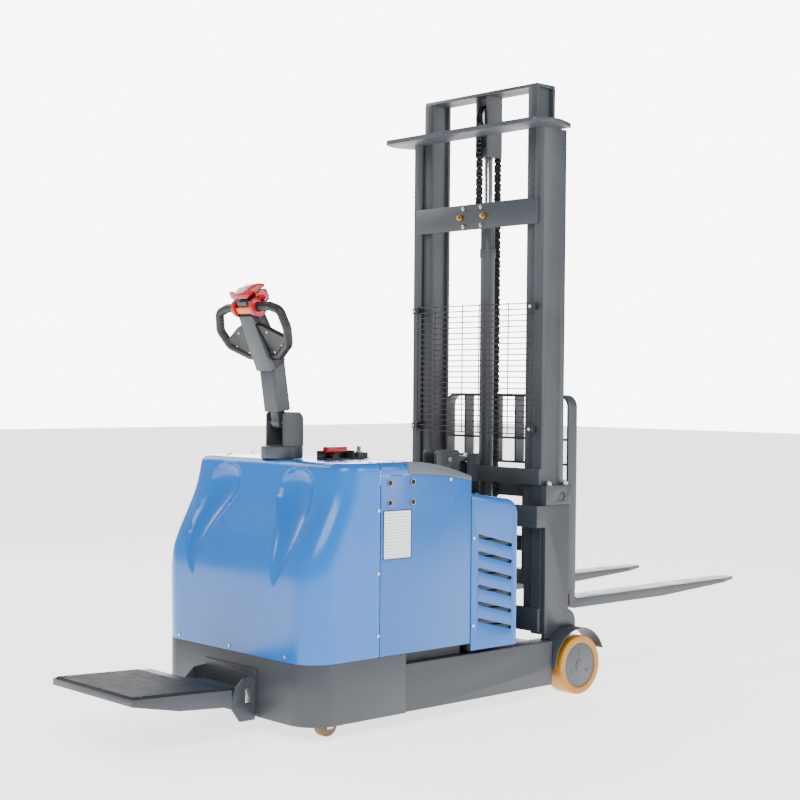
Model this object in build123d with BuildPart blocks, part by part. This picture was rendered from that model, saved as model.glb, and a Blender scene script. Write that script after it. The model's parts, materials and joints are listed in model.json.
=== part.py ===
from build123d import *
import math
import os

os.makedirs("parts", exist_ok=True)

# A pedestrian counterbalance stacker with a fold-down step, a tiller, a duplex mast and a fork carriage.
# Millimetres. +X towards the fork tips, +Y to the truck's left, +Z up.
# The origin is on the floor, at the middle of the truck's overall length and width.
# The mast stands as it is stored: the inner mast 130 mm up, the forks 260 mm above their lowest place.

# ---------------------------------------------------------------- driving sizes
# wheels
front_wheel_r = 112.0
front_wheel_w = 80.0
front_wheel_face_y = 444.0
front_axle_r = 20.0
drive_wheel_r = 112.0
drive_wheel_w = 75.0
drive_axle_r = 14.0
caster_wheel_r = 40.0
caster_wheel_w = 32.0
caster_trail = 25.0
caster_pin_r = 8.0

# fork and step reach, from the front axle
carriage_front = 85.0
fork_length = 1130.0
step_pivot_back = 1357.0
step_pivot_z = 130.0
step_length = 515.0
step_rise = 2.5
step_under = 19.0
step_over = 45.0

# chassis and covers
body_half_w = 432.0
body_back = 1319.0
skirt_bottom = 50.0
seam_z = 256.0
skirt_wall = 8.0
skirt_corner_r = 110.0
skirt_front_back = 895.0
sheet = 3.0
cover_top = 912.0
cover_split = 1017.0
lid_back = 892.0
panel_front = 585.0

# legs, supports
leg_inner = 344.0
leg_outer = 426.0
leg_bottom = 52.0
deck_z = 216.0
leg_front = 141.0
deck_front = 190.0
plate_in = 359.0
plate_t = 18.0
plate_back = 131.0
plate_front = 4.0
support_top = 725.0

# mast
trunnion_back = 51.0
trunnion_z = 757.0
trunnion_r = 17.0
outer_half = 357.0
outer_back = 137.0
outer_depth = 125.0
outer_web = 12.0
outer_flange = 46.0
outer_flange_t = 12.0
outer_bottom = 232.0
outer_top = 2150.0
inner_half = 307.0
inner_width = 44.0
inner_back = 128.0
inner_depth = 104.0
inner_web = 10.0
inner_flange_t = 11.0
inner_bottom = 250.0
inner_top = 2310.0
lift_axis_back = 70.0
lift_tube_r = 28.5
lift_bore_r = 22.5
lift_rod_r = 16.0
sheave_pitch_r = 52.0
sheave_z = 2225.0
chain_w = 30.0
chain_t = 14.0
chain_rear_anchor_z = 1888.0
chain_front_anchor_z = 580.0

# carriage and forks
bar_t = 40.0
bar_half = 331.0
upper_bar_z = 733.0
upper_bar_h = 57.0
lower_bar_z = 383.0
lower_bar_h = 60.0
fork_outer = 311.0
fork_w = 100.0
fork_t = 38.0
fork_shank_t = 32.0
fork_top_z = 342.0
backrest_top = 1140.0
backrest_half = 341.0
backrest_bar = 50.0
backrest_t = 9.0

# tiller
tiller_back = 1100.0
base_ring_r = 74.0
base_ring_top = 956.0
block_top = 1076.0
block_half = 51.0
tiller_pivot_back = 1115.0
tiller_pivot_z = 1040.0
tiller_lean = 9.0
tiller_tube_len = 200.0
head_lean = 32.3
loop_r = 15.5

# clearances
running = 0.06
free_gap = 1.0
pin_slack = 1.5

# ---------------------------------------------------------------- places worked out from those
rear_reach = (
    step_pivot_back
    + step_length * math.cos(math.radians(step_rise))
    - step_under * math.sin(math.radians(step_rise))
)
front_reach = carriage_front + free_gap + fork_length
axle_x = (rear_reach - front_reach) / 2
body_rear_x = axle_x - body_back
skirt_front_x = axle_x - skirt_front_back
split_x = axle_x - cover_split
lid_x = axle_x - lid_back
panel_x = axle_x - panel_front
mast_x = axle_x - outer_back
trunnion_x = axle_x - trunnion_back
lift_x = axle_x - lift_axis_back
tiller_x = axle_x - tiller_back
pivot_x = axle_x - tiller_pivot_back
step_x = axle_x - step_pivot_back
fork_x = axle_x + carriage_front + free_gap


def side(y):
    """A plane facing the truck's right, at distance y from its middle, drawn in X and Z."""
    return Plane((0, y, 0), x_dir=(1, 0, 0), z_dir=(0, -1, 0))


def across(x):
    """A plane facing forward at x, drawn in Y and Z."""
    return Plane((x, 0, 0), x_dir=(0, 1, 0), z_dir=(1, 0, 0))


def save(builder, name):
    builder.part.label = name
    export_step(builder.part, "parts/" + name + ".step")


def slab(x0, x1, y0, y1, z0, z1, mode=Mode.ADD):
    """A rectangular block between two corners."""
    with Locations(((x0 + x1) / 2, (y0 + y1) / 2, (z0 + z1) / 2)):
        Box(x1 - x0, y1 - y0, z1 - z0, mode=mode)


def rod_y(x, z, y0, y1, r, mode=Mode.ADD):
    """A round bar along Y."""
    with Locations(Location((x, (y0 + y1) / 2, z), (90, 0, 0))):
        Cylinder(r, y1 - y0, mode=mode)


def rod_x(y, z, x0, x1, r, mode=Mode.ADD):
    """A round bar along X."""
    with Locations(Location(((x0 + x1) / 2, y, z), (0, 90, 0))):
        Cylinder(r, x1 - x0, mode=mode)


def rod_z(x, y, z0, z1, r, mode=Mode.ADD):
    """A round bar along Z."""
    with Locations((x, y, (z0 + z1) / 2)):
        Cylinder(r, z1 - z0, mode=mode)


# ---------------------------------------------------------------- chassis
caster_x = axle_x - 1160
caster_y = 350.0
base_z = 90.0
base_t = 8.0
mount_z = 345.0
mount_t = 12.0
mount_hole_r = 100.0
well_r = 150.0
frame_wall_y = 185.0

with BuildPart() as chassis_frame:
    # folded skirt with a floor
    with BuildSketch(Plane.XY.offset(skirt_bottom)):
        with BuildLine():
            FilletPolyline(
                (skirt_front_x, -body_half_w),
                (body_rear_x, -body_half_w),
                (body_rear_x, body_half_w),
                (skirt_front_x, body_half_w),
                radius=skirt_corner_r,
            )
            Line((skirt_front_x, body_half_w), (skirt_front_x, -body_half_w))
        make_face()
    extrude(amount=seam_z - skirt_bottom)
    with BuildSketch(Plane.XY.offset(skirt_bottom)):
        with BuildLine():
            FilletPolyline(
                (skirt_front_x - skirt_wall, -body_half_w + skirt_wall),
                (body_rear_x + skirt_wall, -body_half_w + skirt_wall),
                (body_rear_x + skirt_wall, body_half_w - skirt_wall),
                (skirt_front_x - skirt_wall, body_half_w - skirt_wall),
                radius=skirt_corner_r - skirt_wall,
            )
            Line(
                (skirt_front_x - skirt_wall, body_half_w - skirt_wall),
                (skirt_front_x - skirt_wall, -body_half_w + skirt_wall),
            )
        make_face()
    extrude(amount=base_z - skirt_bottom, mode=Mode.SUBTRACT)
    with BuildSketch(Plane.XY.offset(base_z + base_t)):
        with BuildLine():
            FilletPolyline(
                (skirt_front_x - skirt_wall, -body_half_w + skirt_wall),
                (body_rear_x + skirt_wall, -body_half_w + skirt_wall),
                (body_rear_x + skirt_wall, body_half_w - skirt_wall),
                (skirt_front_x - skirt_wall, body_half_w - skirt_wall),
                radius=skirt_corner_r - skirt_wall,
            )
            Line(
                (skirt_front_x - skirt_wall, body_half_w - skirt_wall),
                (skirt_front_x - skirt_wall, -body_half_w + skirt_wall),
            )
        make_face()
    extrude(amount=seam_z - base_z - base_t, mode=Mode.SUBTRACT)
    rod_z(tiller_x, 0, base_z, base_z + base_t, well_r, Mode.SUBTRACT)
    for sign in (-1, 1):
        rod_z(caster_x, sign * caster_y, base_z, base_z + base_t, caster_pin_r + running, Mode.SUBTRACT)
        # walls and plate that carry the drive unit
        slab(
            tiller_x - 160, tiller_x + 160,
            sign * frame_wall_y - 5, sign * frame_wall_y + 5,
            base_z + base_t, mount_z,
        )
    slab(tiller_x - 160, tiller_x + 160, -frame_wall_y - 5, frame_wall_y + 5, mount_z, mount_z + mount_t)
    rod_z(tiller_x, 0, mount_z, mount_z + mount_t, mount_hole_r, Mode.SUBTRACT)
    # posts that carry the covers and the lid
    for sign in (-1, 1):
        slab(
            skirt_front_x - 38, skirt_front_x - skirt_wall,
            sign * 400 - 15, sign * 400 + 15,
            base_z + base_t, cover_top - 12,
        )
    slab(skirt_front_x - 38, skirt_front_x - skirt_wall, -415, 415, cover_top - 32, cover_top - 12)
save(chassis_frame, "chassis_frame")

# ---------------------------------------------------------------- legs and deck
leg_wall = 8.0
fork_plate_front = 40.0
fender_r = 143.0
fender_t = 4.0
tower_y = 26.0
tower_t = 12.0
tower_back = 380.0
tower_front = 255.0
tower_top = 925.0
tilt_pin_back = 312.0
tilt_pin_z = 888.0
tilt_pin_r = 10.0

with BuildPart() as leg_frame:
    for sign in (-1, 1):
        inner = sign * leg_inner
        outer = sign * leg_outer
        y0, y1 = min(inner, outer), max(inner, outer)
        slab(skirt_front_x, axle_x - leg_front, y0, y1, leg_bottom, deck_z)
        slab(
            skirt_front_x, axle_x - leg_front - leg_wall,
            y0 + leg_wall, y1 - leg_wall,
            leg_bottom + leg_wall, deck_z - leg_wall, Mode.SUBTRACT,
        )
        # plate inside each front wheel
        p0, p1 = sorted((sign * leg_inner, sign * plate_in))
        slab(axle_x - leg_front, axle_x + fork_plate_front, p0, p1, 62, deck_z)
        # mudguard over the wheel
        g0, g1 = sorted((sign * plate_in, sign * front_wheel_face_y))
        with BuildSketch(side(g1)):
            with BuildLine():
                start = 180.0
                end = 22.0
                c = (axle_x, front_wheel_r)
                CenterArc(c, fender_r, end, start - end)
                CenterArc(c, fender_r - fender_t, end, start - end)
                for a in (start, end):
                    ca, sa = math.cos(math.radians(a)), math.sin(math.radians(a))
                    Line(
                        (c[0] + fender_r * ca, c[1] + fender_r * sa),
                        (c[0] + (fender_r - fender_t) * ca, c[1] + (fender_r - fender_t) * sa),
                    )
            make_face()
        extrude(amount=g1 - g0)
    slab(skirt_front_x, axle_x - deck_front, -leg_inner, leg_inner, deck_z - leg_wall, deck_z)
    beam_x = axle_x - deck_front
    slab(beam_x - 12, beam_x, -leg_inner, leg_inner, leg_bottom + 20, deck_z - leg_wall)
    # tower for the tilt cylinder
    for sign in (-1, 1):
        with BuildSketch(side(sign * tower_y + (tower_t if sign > 0 else 0))):
            with BuildLine():
                FilletPolyline(
                    (axle_x - tower_back - 60, deck_z),
                    (axle_x - tower_back, tower_top - 180),
                    (axle_x - tower_back, tower_top),
                    (axle_x - tower_front, tower_top),
                    (axle_x - tower_front, deck_z),
                    radius=18,
                )
                Line((axle_x - tower_front, deck_z), (axle_x - tower_back - 60, deck_z))
            make_face()
            with Locations((axle_x - tilt_pin_back, tilt_pin_z)):
                Circle(tilt_pin_r, mode=Mode.SUBTRACT)
        extrude(amount=tower_t)
    slab(
        axle_x - tower_back, axle_x - tower_back + 12,
        -tower_y + 0.5, tower_y - 0.5, deck_z, tower_top - 110,
    )
save(leg_frame, "leg_frame")

# ---------------------------------------------------------------- mast supports and trunnion blocks
block_back = 140.0
block_front = 0.0
block_height = 73.0
block_out = 387.0
beam_back = 180.0
beam_z = 640.0
beam_h = 82.0
bolt_backs = (112.0, 20.0)

with BuildPart() as mast_supports:
    for sign in (-1, 1):
        y_face = sign * plate_in + (plate_t if sign > 0 else 0)
        with BuildSketch(side(y_face)):
            with BuildLine():
                l1 = Polyline(
                    (axle_x - plate_back, deck_z),
                    (axle_x - plate_back, support_top),
                    (axle_x + plate_front, support_top),
                    (axle_x + plate_front, 320),
                )
                a1 = RadiusArc(l1 @ 1, (axle_x + 46, 262), 56)
                Polyline(a1 @ 1, (axle_x + 46, deck_z), (axle_x - plate_back, deck_z))
            make_face()
            with Locations((axle_x, front_wheel_r)):
                Circle(fender_r + 0.2, mode=Mode.SUBTRACT)
        extrude(amount=plate_t)
    # beam behind the mast
    slab(
        axle_x - beam_back, axle_x - beam_back + 16,
        -plate_in - plate_t, plate_in + plate_t, beam_z, beam_z + beam_h,
    )
    for sign in (-1, 1):
        y0, y1 = sorted((sign * plate_in, sign * (plate_in + plate_t)))
        slab(axle_x - beam_back + 16, axle_x - plate_back, y0, y1, beam_z, beam_z + beam_h)
save(mast_supports, "mast_supports")

with BuildPart() as trunnion_blocks:
    for sign in (-1, 1):
        y0, y1 = sorted((sign * plate_in, sign * block_out))
        slab(axle_x - block_back, axle_x - block_front, y0, y1, support_top, support_top + block_height)
        rod_y(trunnion_x, trunnion_z, y0 - 1, y1 + 1, trunnion_r + running, Mode.SUBTRACT)
        for back in bolt_backs:
            rod_z(axle_x - back, (y0 + y1) / 2, support_top, support_top + block_height, 8, Mode.SUBTRACT)
save(trunnion_blocks, "trunnion_blocks")

# ---------------------------------------------------------------- step bracket
ear_in = 140.0
ear_t = 8.0
ear_back = 1425.0
with BuildPart() as step_bracket:
    slab(body_rear_x - 6, body_rear_x, -ear_in - ear_t, ear_in + ear_t, 60, 214)
    for sign in (-1, 1):
        with BuildSketch(side(sign * ear_in + (ear_t if sign > 0 else 0))):
            with BuildLine():
                FilletPolyline(
                    (body_rear_x - 6, 190),
                    (axle_x - 1375, 186),
                    (axle_x - 1406, 156),
                    (axle_x - ear_back, 93),
                    (axle_x - 1388, 42),
                    (body_rear_x - 6, 42),
                    radius=5,
                )
                Line((body_rear_x - 6, 42), (body_rear_x - 6, 190))
            make_face()
            with Locations((step_x, step_pivot_z)):
                Circle(10, mode=Mode.SUBTRACT)
        extrude(amount=ear_t)
save(step_bracket, "step_bracket")

# ---------------------------------------------------------------- rear cover
# The back leans in an S: full width at the seam, set forward at the top.
back_corners = [(0.0, seam_z), (0.0, 585.0), (118.0, 805.0), (140.0, cover_top)]
back_bend_r = 300.0
back_top_r = 24.0
cover_round = 26.0
scoop_low = (-5.0, 228.0, 505.0, 8.0)
scoop_high = (80.0, 200.0, 940.0, 88.0)


def cover_solid(inset):
    """The closed shape of the rear cover, every wall moved in by inset."""
    with BuildPart() as form:
        with BuildSketch(side(body_half_w)):
            with BuildLine():
                pts = [(body_rear_x + dx + inset, min(z, cover_top - inset)) for dx, z in back_corners]
                back = FilletPolyline(
                    *pts, (split_x, cover_top - inset), radius=[back_bend_r, back_bend_r, back_top_r - inset]
                )
                Polyline(back @ 1, (split_x, seam_z), back @ 0)
            make_face()
        extrude(amount=2 * body_half_w)
        with BuildSketch(Plane.XY.offset(seam_z)):
            with BuildLine():
                FilletPolyline(
                    (split_x, -body_half_w + inset),
                    (body_rear_x + inset, -body_half_w + inset),
                    (body_rear_x + inset, body_half_w - inset),
                    (split_x, body_half_w - inset),
                    radius=skirt_corner_r - inset,
                )
                Line((split_x, body_half_w - inset), (split_x, -body_half_w + inset))
            make_face()
        extrude(amount=cover_top - seam_z, mode=Mode.INTERSECT)
        # the long side edges of the top are rounded
        with BuildSketch(across(body_rear_x)):
            with BuildLine():
                FilletPolyline(
                    (-body_half_w + inset, seam_z),
                    (-body_half_w + inset, cover_top - inset),
                    (body_half_w - inset, cover_top - inset),
                    (body_half_w - inset, seam_z),
                    radius=cover_round - inset,
                )
                Line((body_half_w - inset, seam_z), (-body_half_w + inset, seam_z))
            make_face()
        extrude(amount=split_x - body_rear_x, mode=Mode.INTERSECT)
        # two tapering scoops, wide at the top and running out at half height
        for sign in (-1, 1):
            low = Vector(body_rear_x + scoop_low[0], sign * scoop_low[1], scoop_low[2])
            high = Vector(body_rear_x + scoop_high[0], sign * scoop_high[1], scoop_high[2])
            with BuildSketch(Plane(low, z_dir=high - low)):
                Circle(scoop_low[3] + inset)
            with BuildSketch(Plane(high, z_dir=high - low)):
                Circle(scoop_high[3] + inset)
            loft(mode=Mode.SUBTRACT)
    return form.part


with BuildPart() as rear_cover:
    add(cover_solid(0))
    add(cover_solid(sheet), mode=Mode.SUBTRACT)
    # open front, and the hole for the tiller's column
    skin_half = body_half_w - sheet
    slab(split_x - 1, split_x, -skin_half, skin_half, seam_z, cover_top - sheet, Mode.SUBTRACT)
    rod_z(tiller_x, 0, cover_top - 20, cover_top + 1, 46, Mode.SUBTRACT)
save(rear_cover, "rear_cover")

# ---------------------------------------------------------------- top panel, side panels, lid
panel_drop = 44.0
with BuildPart() as top_panel:
    with BuildSketch(across(split_x + 0.5)):
        with BuildLine():
            w, top_z, low_z = body_half_w, cover_top, cover_top - panel_drop
            FilletPolyline((-w, low_z), (-w, top_z), (w, top_z), (w, low_z), radius=cover_round)
            Line((w, low_z), (w - sheet, low_z))
            FilletPolyline(
                (w - sheet, low_z), (w - sheet, top_z - sheet),
                (-w + sheet, top_z - sheet), (-w + sheet, low_z),
                radius=cover_round - sheet,
            )
            Line((-w + sheet, low_z), (-w, low_z))
        make_face()
    extrude(amount=lid_x - split_x - 1.0)
save(top_panel, "top_panel")

lid_edge_back_z = 868.0
lid_edge_front_z = 836.0
lid_crown = [(lid_x, 911.0), (axle_x - 781, 903.0), (axle_x - 698, 886.0), (panel_x, 853.0)]
for name, sign in (("side_panel_left", 1), ("side_panel_right", -1)):
    with BuildPart() as side_panel:
        with BuildSketch(side(sign * body_half_w if sign > 0 else sign * (body_half_w - sheet))):
            with BuildLine():
                l1 = Polyline(
                    (split_x + 0.5, cover_top - panel_drop - 0.5),
                    (split_x + 0.5, seam_z),
                    (panel_x, seam_z),
                    (panel_x, lid_edge_front_z),
                )
                ThreePointArc(l1 @ 1, (axle_x - 735, 859.0), (lid_x, lid_edge_back_z - 0.5))
                Line((lid_x, lid_edge_back_z - 0.5), (split_x + 0.5, cover_top - panel_drop - 0.5))
            make_face()
        extrude(amount=sheet)
        # folded flange at the front edge
        y0, y1 = sorted((sign * (body_half_w - 30), sign * (body_half_w - sheet)))
        slab(panel_x - sheet, panel_x, y0, y1, seam_z, lid_edge_front_z - 4)
    save(side_panel, name)

with BuildPart() as battery_lid:
    with BuildSketch(side(body_half_w)):
        with BuildLine():
            crown = Spline(lid_crown)
            Line(crown @ 1, (panel_x, lid_edge_front_z + 0.5))
            ThreePointArc((panel_x, lid_edge_front_z + 0.5), (axle_x - 735, 859.5), (lid_x, lid_edge_back_z))
            Line((lid_x, lid_edge_back_z), crown @ 0)
        make_face()
    extrude(amount=2 * body_half_w)
    with BuildSketch(side(body_half_w - sheet)):
        with BuildLine():
            low = Spline([(x, z - sheet) for x, z in lid_crown])
            Line(low @ 1, (panel_x, 800))
            Line((panel_x, 800), (lid_x, 800))
            Line((lid_x, 800), low @ 0)
        make_face()
    extrude(amount=2 * (body_half_w - sheet), mode=Mode.SUBTRACT)
save(battery_lid, "battery_lid")

# ---------------------------------------------------------------- vented front covers
vent_x0 = panel_x + 1.0
vent_x1 = axle_x - 336
vent_out = 434.0
vent_in = 240.0
vent_bottom = 230.0
slot_len = 181.0
slot_h = 13.0
slot_pitch = 60.0
slot_lean = -14.4


vent_corner = 55.0
vent_round = 22.0


def vent_solid(inset):
    """The closed shape of a left front cover, its top, front and outer walls moved in by inset."""
    with BuildPart() as form:
        with BuildSketch(side(vent_out - inset)):
            with BuildLine():
                Line((vent_x0, vent_bottom), (vent_x0, 792 - inset))
                FilletPolyline(
                    (vent_x0, 792 - inset),
                    (vent_x1 - inset, 756 - inset),
                    (vent_x1 - inset, vent_bottom),
                    radius=vent_corner - inset,
                )
                Line((vent_x1 - inset, vent_bottom), (vent_x0, vent_bottom))
            make_face()
        extrude(amount=vent_out - inset - vent_in)
        outer_face = form.faces().sort_by(Axis.Y)[-1]
        rim = outer_face.edges().filter_by(
            lambda e: e.center().Z > vent_bottom + 5 and e.center().X > vent_x0 + 5
        )
        fillet(rim, vent_round - inset)
    return form.part


for name, sign in (("vent_cover_left", 1), ("vent_cover_right", -1)):
    with BuildPart() as vent_cover:
        add(vent_solid(0))
        add(vent_solid(sheet), mode=Mode.SUBTRACT)
        # six slanting louvre slots
        with BuildSketch(side(vent_out)):
            with Locations(*[((vent_x0 + vent_x1) / 2 - 3, 616 - slot_pitch * i) for i in range(6)]):
                SlotOverall(slot_len, slot_h, rotation=slot_lean)
        extrude(amount=sheet + 1, mode=Mode.SUBTRACT)
        if sign < 0:
            mirror(about=Plane.XZ, mode=Mode.REPLACE)
    save(vent_cover, name)

# ---------------------------------------------------------------- what the covers hold
with BuildPart() as battery_pack:
    slab(axle_x - 875, axle_x - 602, -396, 396, deck_z + 2, 790)
    # cell tops and the lifting eyes
    with Locations(*[(axle_x - 805 + 66 * i, -330 + 60 * j, 796) for i in range(3) for j in range(12)]):
        Cylinder(14, 14)
save(battery_pack, "battery_pack")

with BuildPart() as hydraulic_unit:
    slab(axle_x - 560, axle_x - 400, 70, 390, deck_z + 2, 420)
    rod_z(axle_x - 480, 150, 420, 640, 62)
    slab(axle_x - 530, axle_x - 430, 250, 350, 420, 500)
save(hydraulic_unit, "hydraulic_unit")

with BuildPart() as motor_controller:
    slab(axle_x - 560, axle_x - 520, -390, -120, 300, 560)
    with Locations(*[(axle_x - 505, -380 + 28 * i, 430) for i in range(10)]):
        Box(30, 6, 240)
    slab(axle_x - 560, axle_x - 520, -390, -120, deck_z + 2, 300)
save(motor_controller, "motor_controller")

# ---------------------------------------------------------------- drive unit, turned by the tiller
neck_r = 92.0
flange_r = 125.0
column_r = 38.0
strap_y = 96.0
with BuildPart() as drive_gearbox:
    rod_z(tiller_x, 0, mount_z - 15, mount_z - free_gap, flange_r)
    rod_z(tiller_x, 0, mount_z - free_gap, mount_z + 20, neck_r)
    case_y = drive_wheel_w / 2 + 6
    slab(tiller_x - 55, tiller_x + 55, case_y, case_y + 60, drive_wheel_r, mount_z - 15)
    rod_y(tiller_x, drive_wheel_r, drive_wheel_w / 2 + 6, drive_wheel_w / 2 + 66, 55)
    rod_y(tiller_x, drive_wheel_r, -drive_wheel_w / 2 + 4, drive_wheel_w / 2 + 6, drive_axle_r)
save(drive_gearbox, "drive_gearbox")

with BuildPart() as traction_motor:
    rod_z(tiller_x, 0, mount_z + 20, mount_z + 260, 78)
    rod_z(tiller_x, 0, mount_z + 260, mount_z + 310, 60)
    slab(tiller_x + 60, tiller_x + 100, -25, 25, mount_z + 40, mount_z + 80)
save(traction_motor, "traction_motor")

with BuildPart() as steering_column:
    for sign in (-1, 1):
        y0, y1 = sorted((sign * (strap_y - 14), sign * strap_y))
        slab(tiller_x - 30, tiller_x + 30, y0, y1, mount_z + 20, 704)
    rod_z(tiller_x, 0, 704, 716, strap_y + 6)
    rod_z(tiller_x, 0, 716, cover_top + 2, column_r)
save(steering_column, "steering_column")

with BuildPart() as tiller_base:
    rod_z(tiller_x, 0, cover_top + 2, base_ring_top, base_ring_r)
    fillet(tiller_base.edges().group_by(Axis.Z)[-1], 5)
    # the pivot block: two cheeks, a front wall and a rounded roof, open to the back
    with BuildSketch(side(block_half)):
        with BuildLine():
            bx0, bx1 = pivot_x - 18, pivot_x + 70
            l1 = Polyline((bx1, base_ring_top), (bx0, base_ring_top), (bx0, block_top - 6), (bx0 + 12, block_top))
            l2 = Line(l1 @ 1, (bx1 - 26, block_top))
            l3 = RadiusArc(l2 @ 1, (bx1, block_top - 26), 26)
            Line(l3 @ 1, (bx1, base_ring_top))
        make_face()
    extrude(amount=2 * block_half)
    slab(bx0 - 1, bx1 - 9, -block_half + 7, block_half - 7, base_ring_top + 4, block_top - 8, Mode.SUBTRACT)
    slab(bx0 - 1, pivot_x + 36, -block_half + 7, block_half - 7, base_ring_top + 4, block_top + 1, Mode.SUBTRACT)
    rod_y(pivot_x, tiller_pivot_z, -block_half + 7, block_half - 7, 8)
save(tiller_base, "tiller_base")

gas_r = 9.0
with BuildPart() as gas_spring:
    rod_z(pivot_x + 42, 0, base_ring_top + 4.5, 1010, gas_r)
    rod_z(pivot_x + 42, 0, 1010, 1042, 4)
save(gas_spring, "gas_spring")

drive_rim_r = 84.0
with BuildPart() as drive_wheel:
    # the tyre, cast on a solid hub
    rod_y(tiller_x, drive_wheel_r, -drive_wheel_w / 2, drive_wheel_w / 2, drive_wheel_r)
    chamfer(drive_wheel.edges().filter_by(GeomType.CIRCLE), 4)
    rod_y(tiller_x, drive_wheel_r, -drive_wheel_w / 2 - 1, drive_wheel_w / 2 + 1, drive_rim_r, Mode.SUBTRACT)
    rod_y(tiller_x, drive_wheel_r, -drive_wheel_w / 2 + 6, drive_wheel_w / 2, drive_rim_r)
    rod_y(tiller_x, drive_wheel_r, -drive_wheel_w / 2, drive_wheel_w / 2 + 1, drive_axle_r + running, Mode.SUBTRACT)
save(drive_wheel, "drive_wheel")

# ---------------------------------------------------------------- tiller arm and head
lean = math.radians(tiller_lean)
arm_plane = Plane(
    (pivot_x, 0, tiller_pivot_z),
    x_dir=(math.cos(lean), 0, math.sin(lean)),
    z_dir=(-math.sin(lean), 0, math.cos(lean)),
)
tilt = math.radians(head_lean)
head_origin = (pivot_x - 35, 0, 1235)
head_plane = Plane(head_origin, x_dir=(0, 1, 0), z_dir=(math.cos(tilt), 0, math.sin(tilt)))
head_s0 = 2.0
throttle_s = 225.0
throttle_off = 25.0
horn_s = 180.0
horn_off = 10.0
horn_size = 22.0
rocker_half = 24.0

with BuildPart() as tiller_tube:
    with BuildSketch(arm_plane.offset(40)):
        RectangleRounded(60, 80, 8)
    extrude(amount=tiller_tube_len)
    # the top is cut square to the head
    with BuildSketch(head_plane.offset(-120)):
        with Locations((0, head_s0 + 60)):
            Rectangle(120, 120)
    extrude(amount=240, mode=Mode.SUBTRACT)
    with BuildSketch(side(20)):
        with Locations((pivot_x, tiller_pivot_z)):
            Circle(20)
    extrude(amount=40)
    with BuildSketch(arm_plane):
        Rectangle(34, 40)
    extrude(amount=44)
    rod_y(pivot_x, tiller_pivot_z, -40, 40, 8 + running, Mode.SUBTRACT)
save(tiller_tube, "tiller_tube")

loop_points = [
    (0, 42, 0),
    (85, 46, 0),
    (165, 92, -6),
    (190, 150, 0),
    (172, 212, 18),
    (120, throttle_s, throttle_off),
    (30, throttle_s, throttle_off),
]
head_half = 38.0
cover_half = 44.0
head_profile = [(head_s0, -14), (208, 4), (256, 11), (256, 98), (228, 98), (196, 50), (head_s0, 40)]
cover_profile = [(head_s0, -36), (206, -8), (206, 3.8), (head_s0, -14)]
belly_profile = [(264, 10), (282, 14), (291, 42), (284, 86), (272, 104), (264, 100)]


def head_xz(s, off):
    """A point of the head's side view: s up the head, off towards the truck."""
    point = head_plane.from_local_coords(Vector(0, s, off))
    return (point.X, point.Z)


with BuildPart() as head_cover:
    with BuildSketch(side(cover_half)):
        with BuildLine():
            Polyline(*[head_xz(*p) for p in cover_profile], close=True)
        make_face()
    extrude(amount=2 * cover_half)
    # the sides draw in towards the top
    with BuildSketch(head_plane.offset(-60)):
        with BuildLine():
            Polyline((-cover_half, 0), (cover_half, 0), (36, 208), (-36, 208), close=True)
        make_face()
    extrude(amount=90, mode=Mode.INTERSECT)
save(head_cover, "head_cover")

with BuildPart() as handle_loop:
    # the moulded head
    with BuildSketch(side(head_half)):
        with BuildLine():
            Polyline(*[head_xz(*p) for p in head_profile], close=True)
        make_face()
    extrude(amount=2 * head_half)
    for sign in (-1, 1):
        with BuildLine() as loop_path:
            pts = [head_plane.from_local_coords(Vector(sign * a, b, c)) for a, b, c in loop_points]
            FilletPolyline(*pts, radius=30)
        with BuildSketch(Plane(loop_path.line @ 0, z_dir=loop_path.line % 0)):
            Circle(loop_r)
        sweep(path=loop_path.line)
        # webs below the hand openings
        with BuildSketch(head_plane.offset(-8)):
            with BuildLine():
                Polyline(
                    (sign * 30, 30), (sign * 120, 50), (sign * 176, 108), (sign * 160, 118),
                    (sign * 70, 165), (sign * 30, 175), (sign * 30, 30),
                )
            make_face()
        extrude(amount=16)
    # the cover's seat
    add(head_cover.part, mode=Mode.SUBTRACT)
    # well of the safety button
    with BuildSketch(head_plane.offset(34)):
        with Locations((0, 256)):
            Rectangle(30, 40)
    extrude(amount=36, mode=Mode.SUBTRACT)
    # pockets of the lift rocker and the horn button
    with BuildSketch(side(rocker_half + 0.6)):
        with BuildLine():
            Polyline(head_xz(238, -2), head_xz(238, 18), head_xz(256, 18), head_xz(256, -2), close=True)
        make_face()
    extrude(amount=2 * rocker_half + 1.2, mode=Mode.SUBTRACT)
    with BuildSketch(head_plane.offset(horn_off - 0.6)):
        with Locations((-head_half, horn_s)):
            Rectangle(24, horn_size + 1.2)
    extrude(amount=horn_size + 1.2, mode=Mode.SUBTRACT)
save(handle_loop, "handle_loop")

with BuildPart() as throttle_levers:
    for sign in (-1, 1):
        c0, c1 = sorted((sign * 43, sign * 60))
        hub_end = head_plane.from_local_coords(Vector(c1, throttle_s, throttle_off))
        with BuildSketch(Plane(hub_end, x_dir=(1, 0, 0), z_dir=(0, -1, 0))):
            Circle(34)
            Circle(loop_r + 1.0, mode=Mode.SUBTRACT)
        extrude(amount=c1 - c0)
        with BuildSketch(head_plane.offset(throttle_off + 18)):
            with BuildLine():
                Polyline(
                    (sign * 43, throttle_s + 5), (sign * 43, throttle_s + 44), (sign * 100, throttle_s + 52),
                    (sign * 104, throttle_s + 30), (sign * 62, throttle_s + 5), (sign * 43, throttle_s + 5),
                )
            make_face()
        extrude(amount=9)
save(throttle_levers, "throttle_levers")

with BuildPart() as belly_button:
    with BuildSketch(side(head_half)):
        with BuildLine():
            Polyline(*[head_xz(*p) for p in belly_profile], close=True)
        make_face()
    extrude(amount=2 * head_half)
    with BuildSketch(head_plane.offset(36)):
        with Locations((0, 258)):
            Rectangle(26, 14)
    extrude(amount=32)
save(belly_button, "belly_button")

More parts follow.
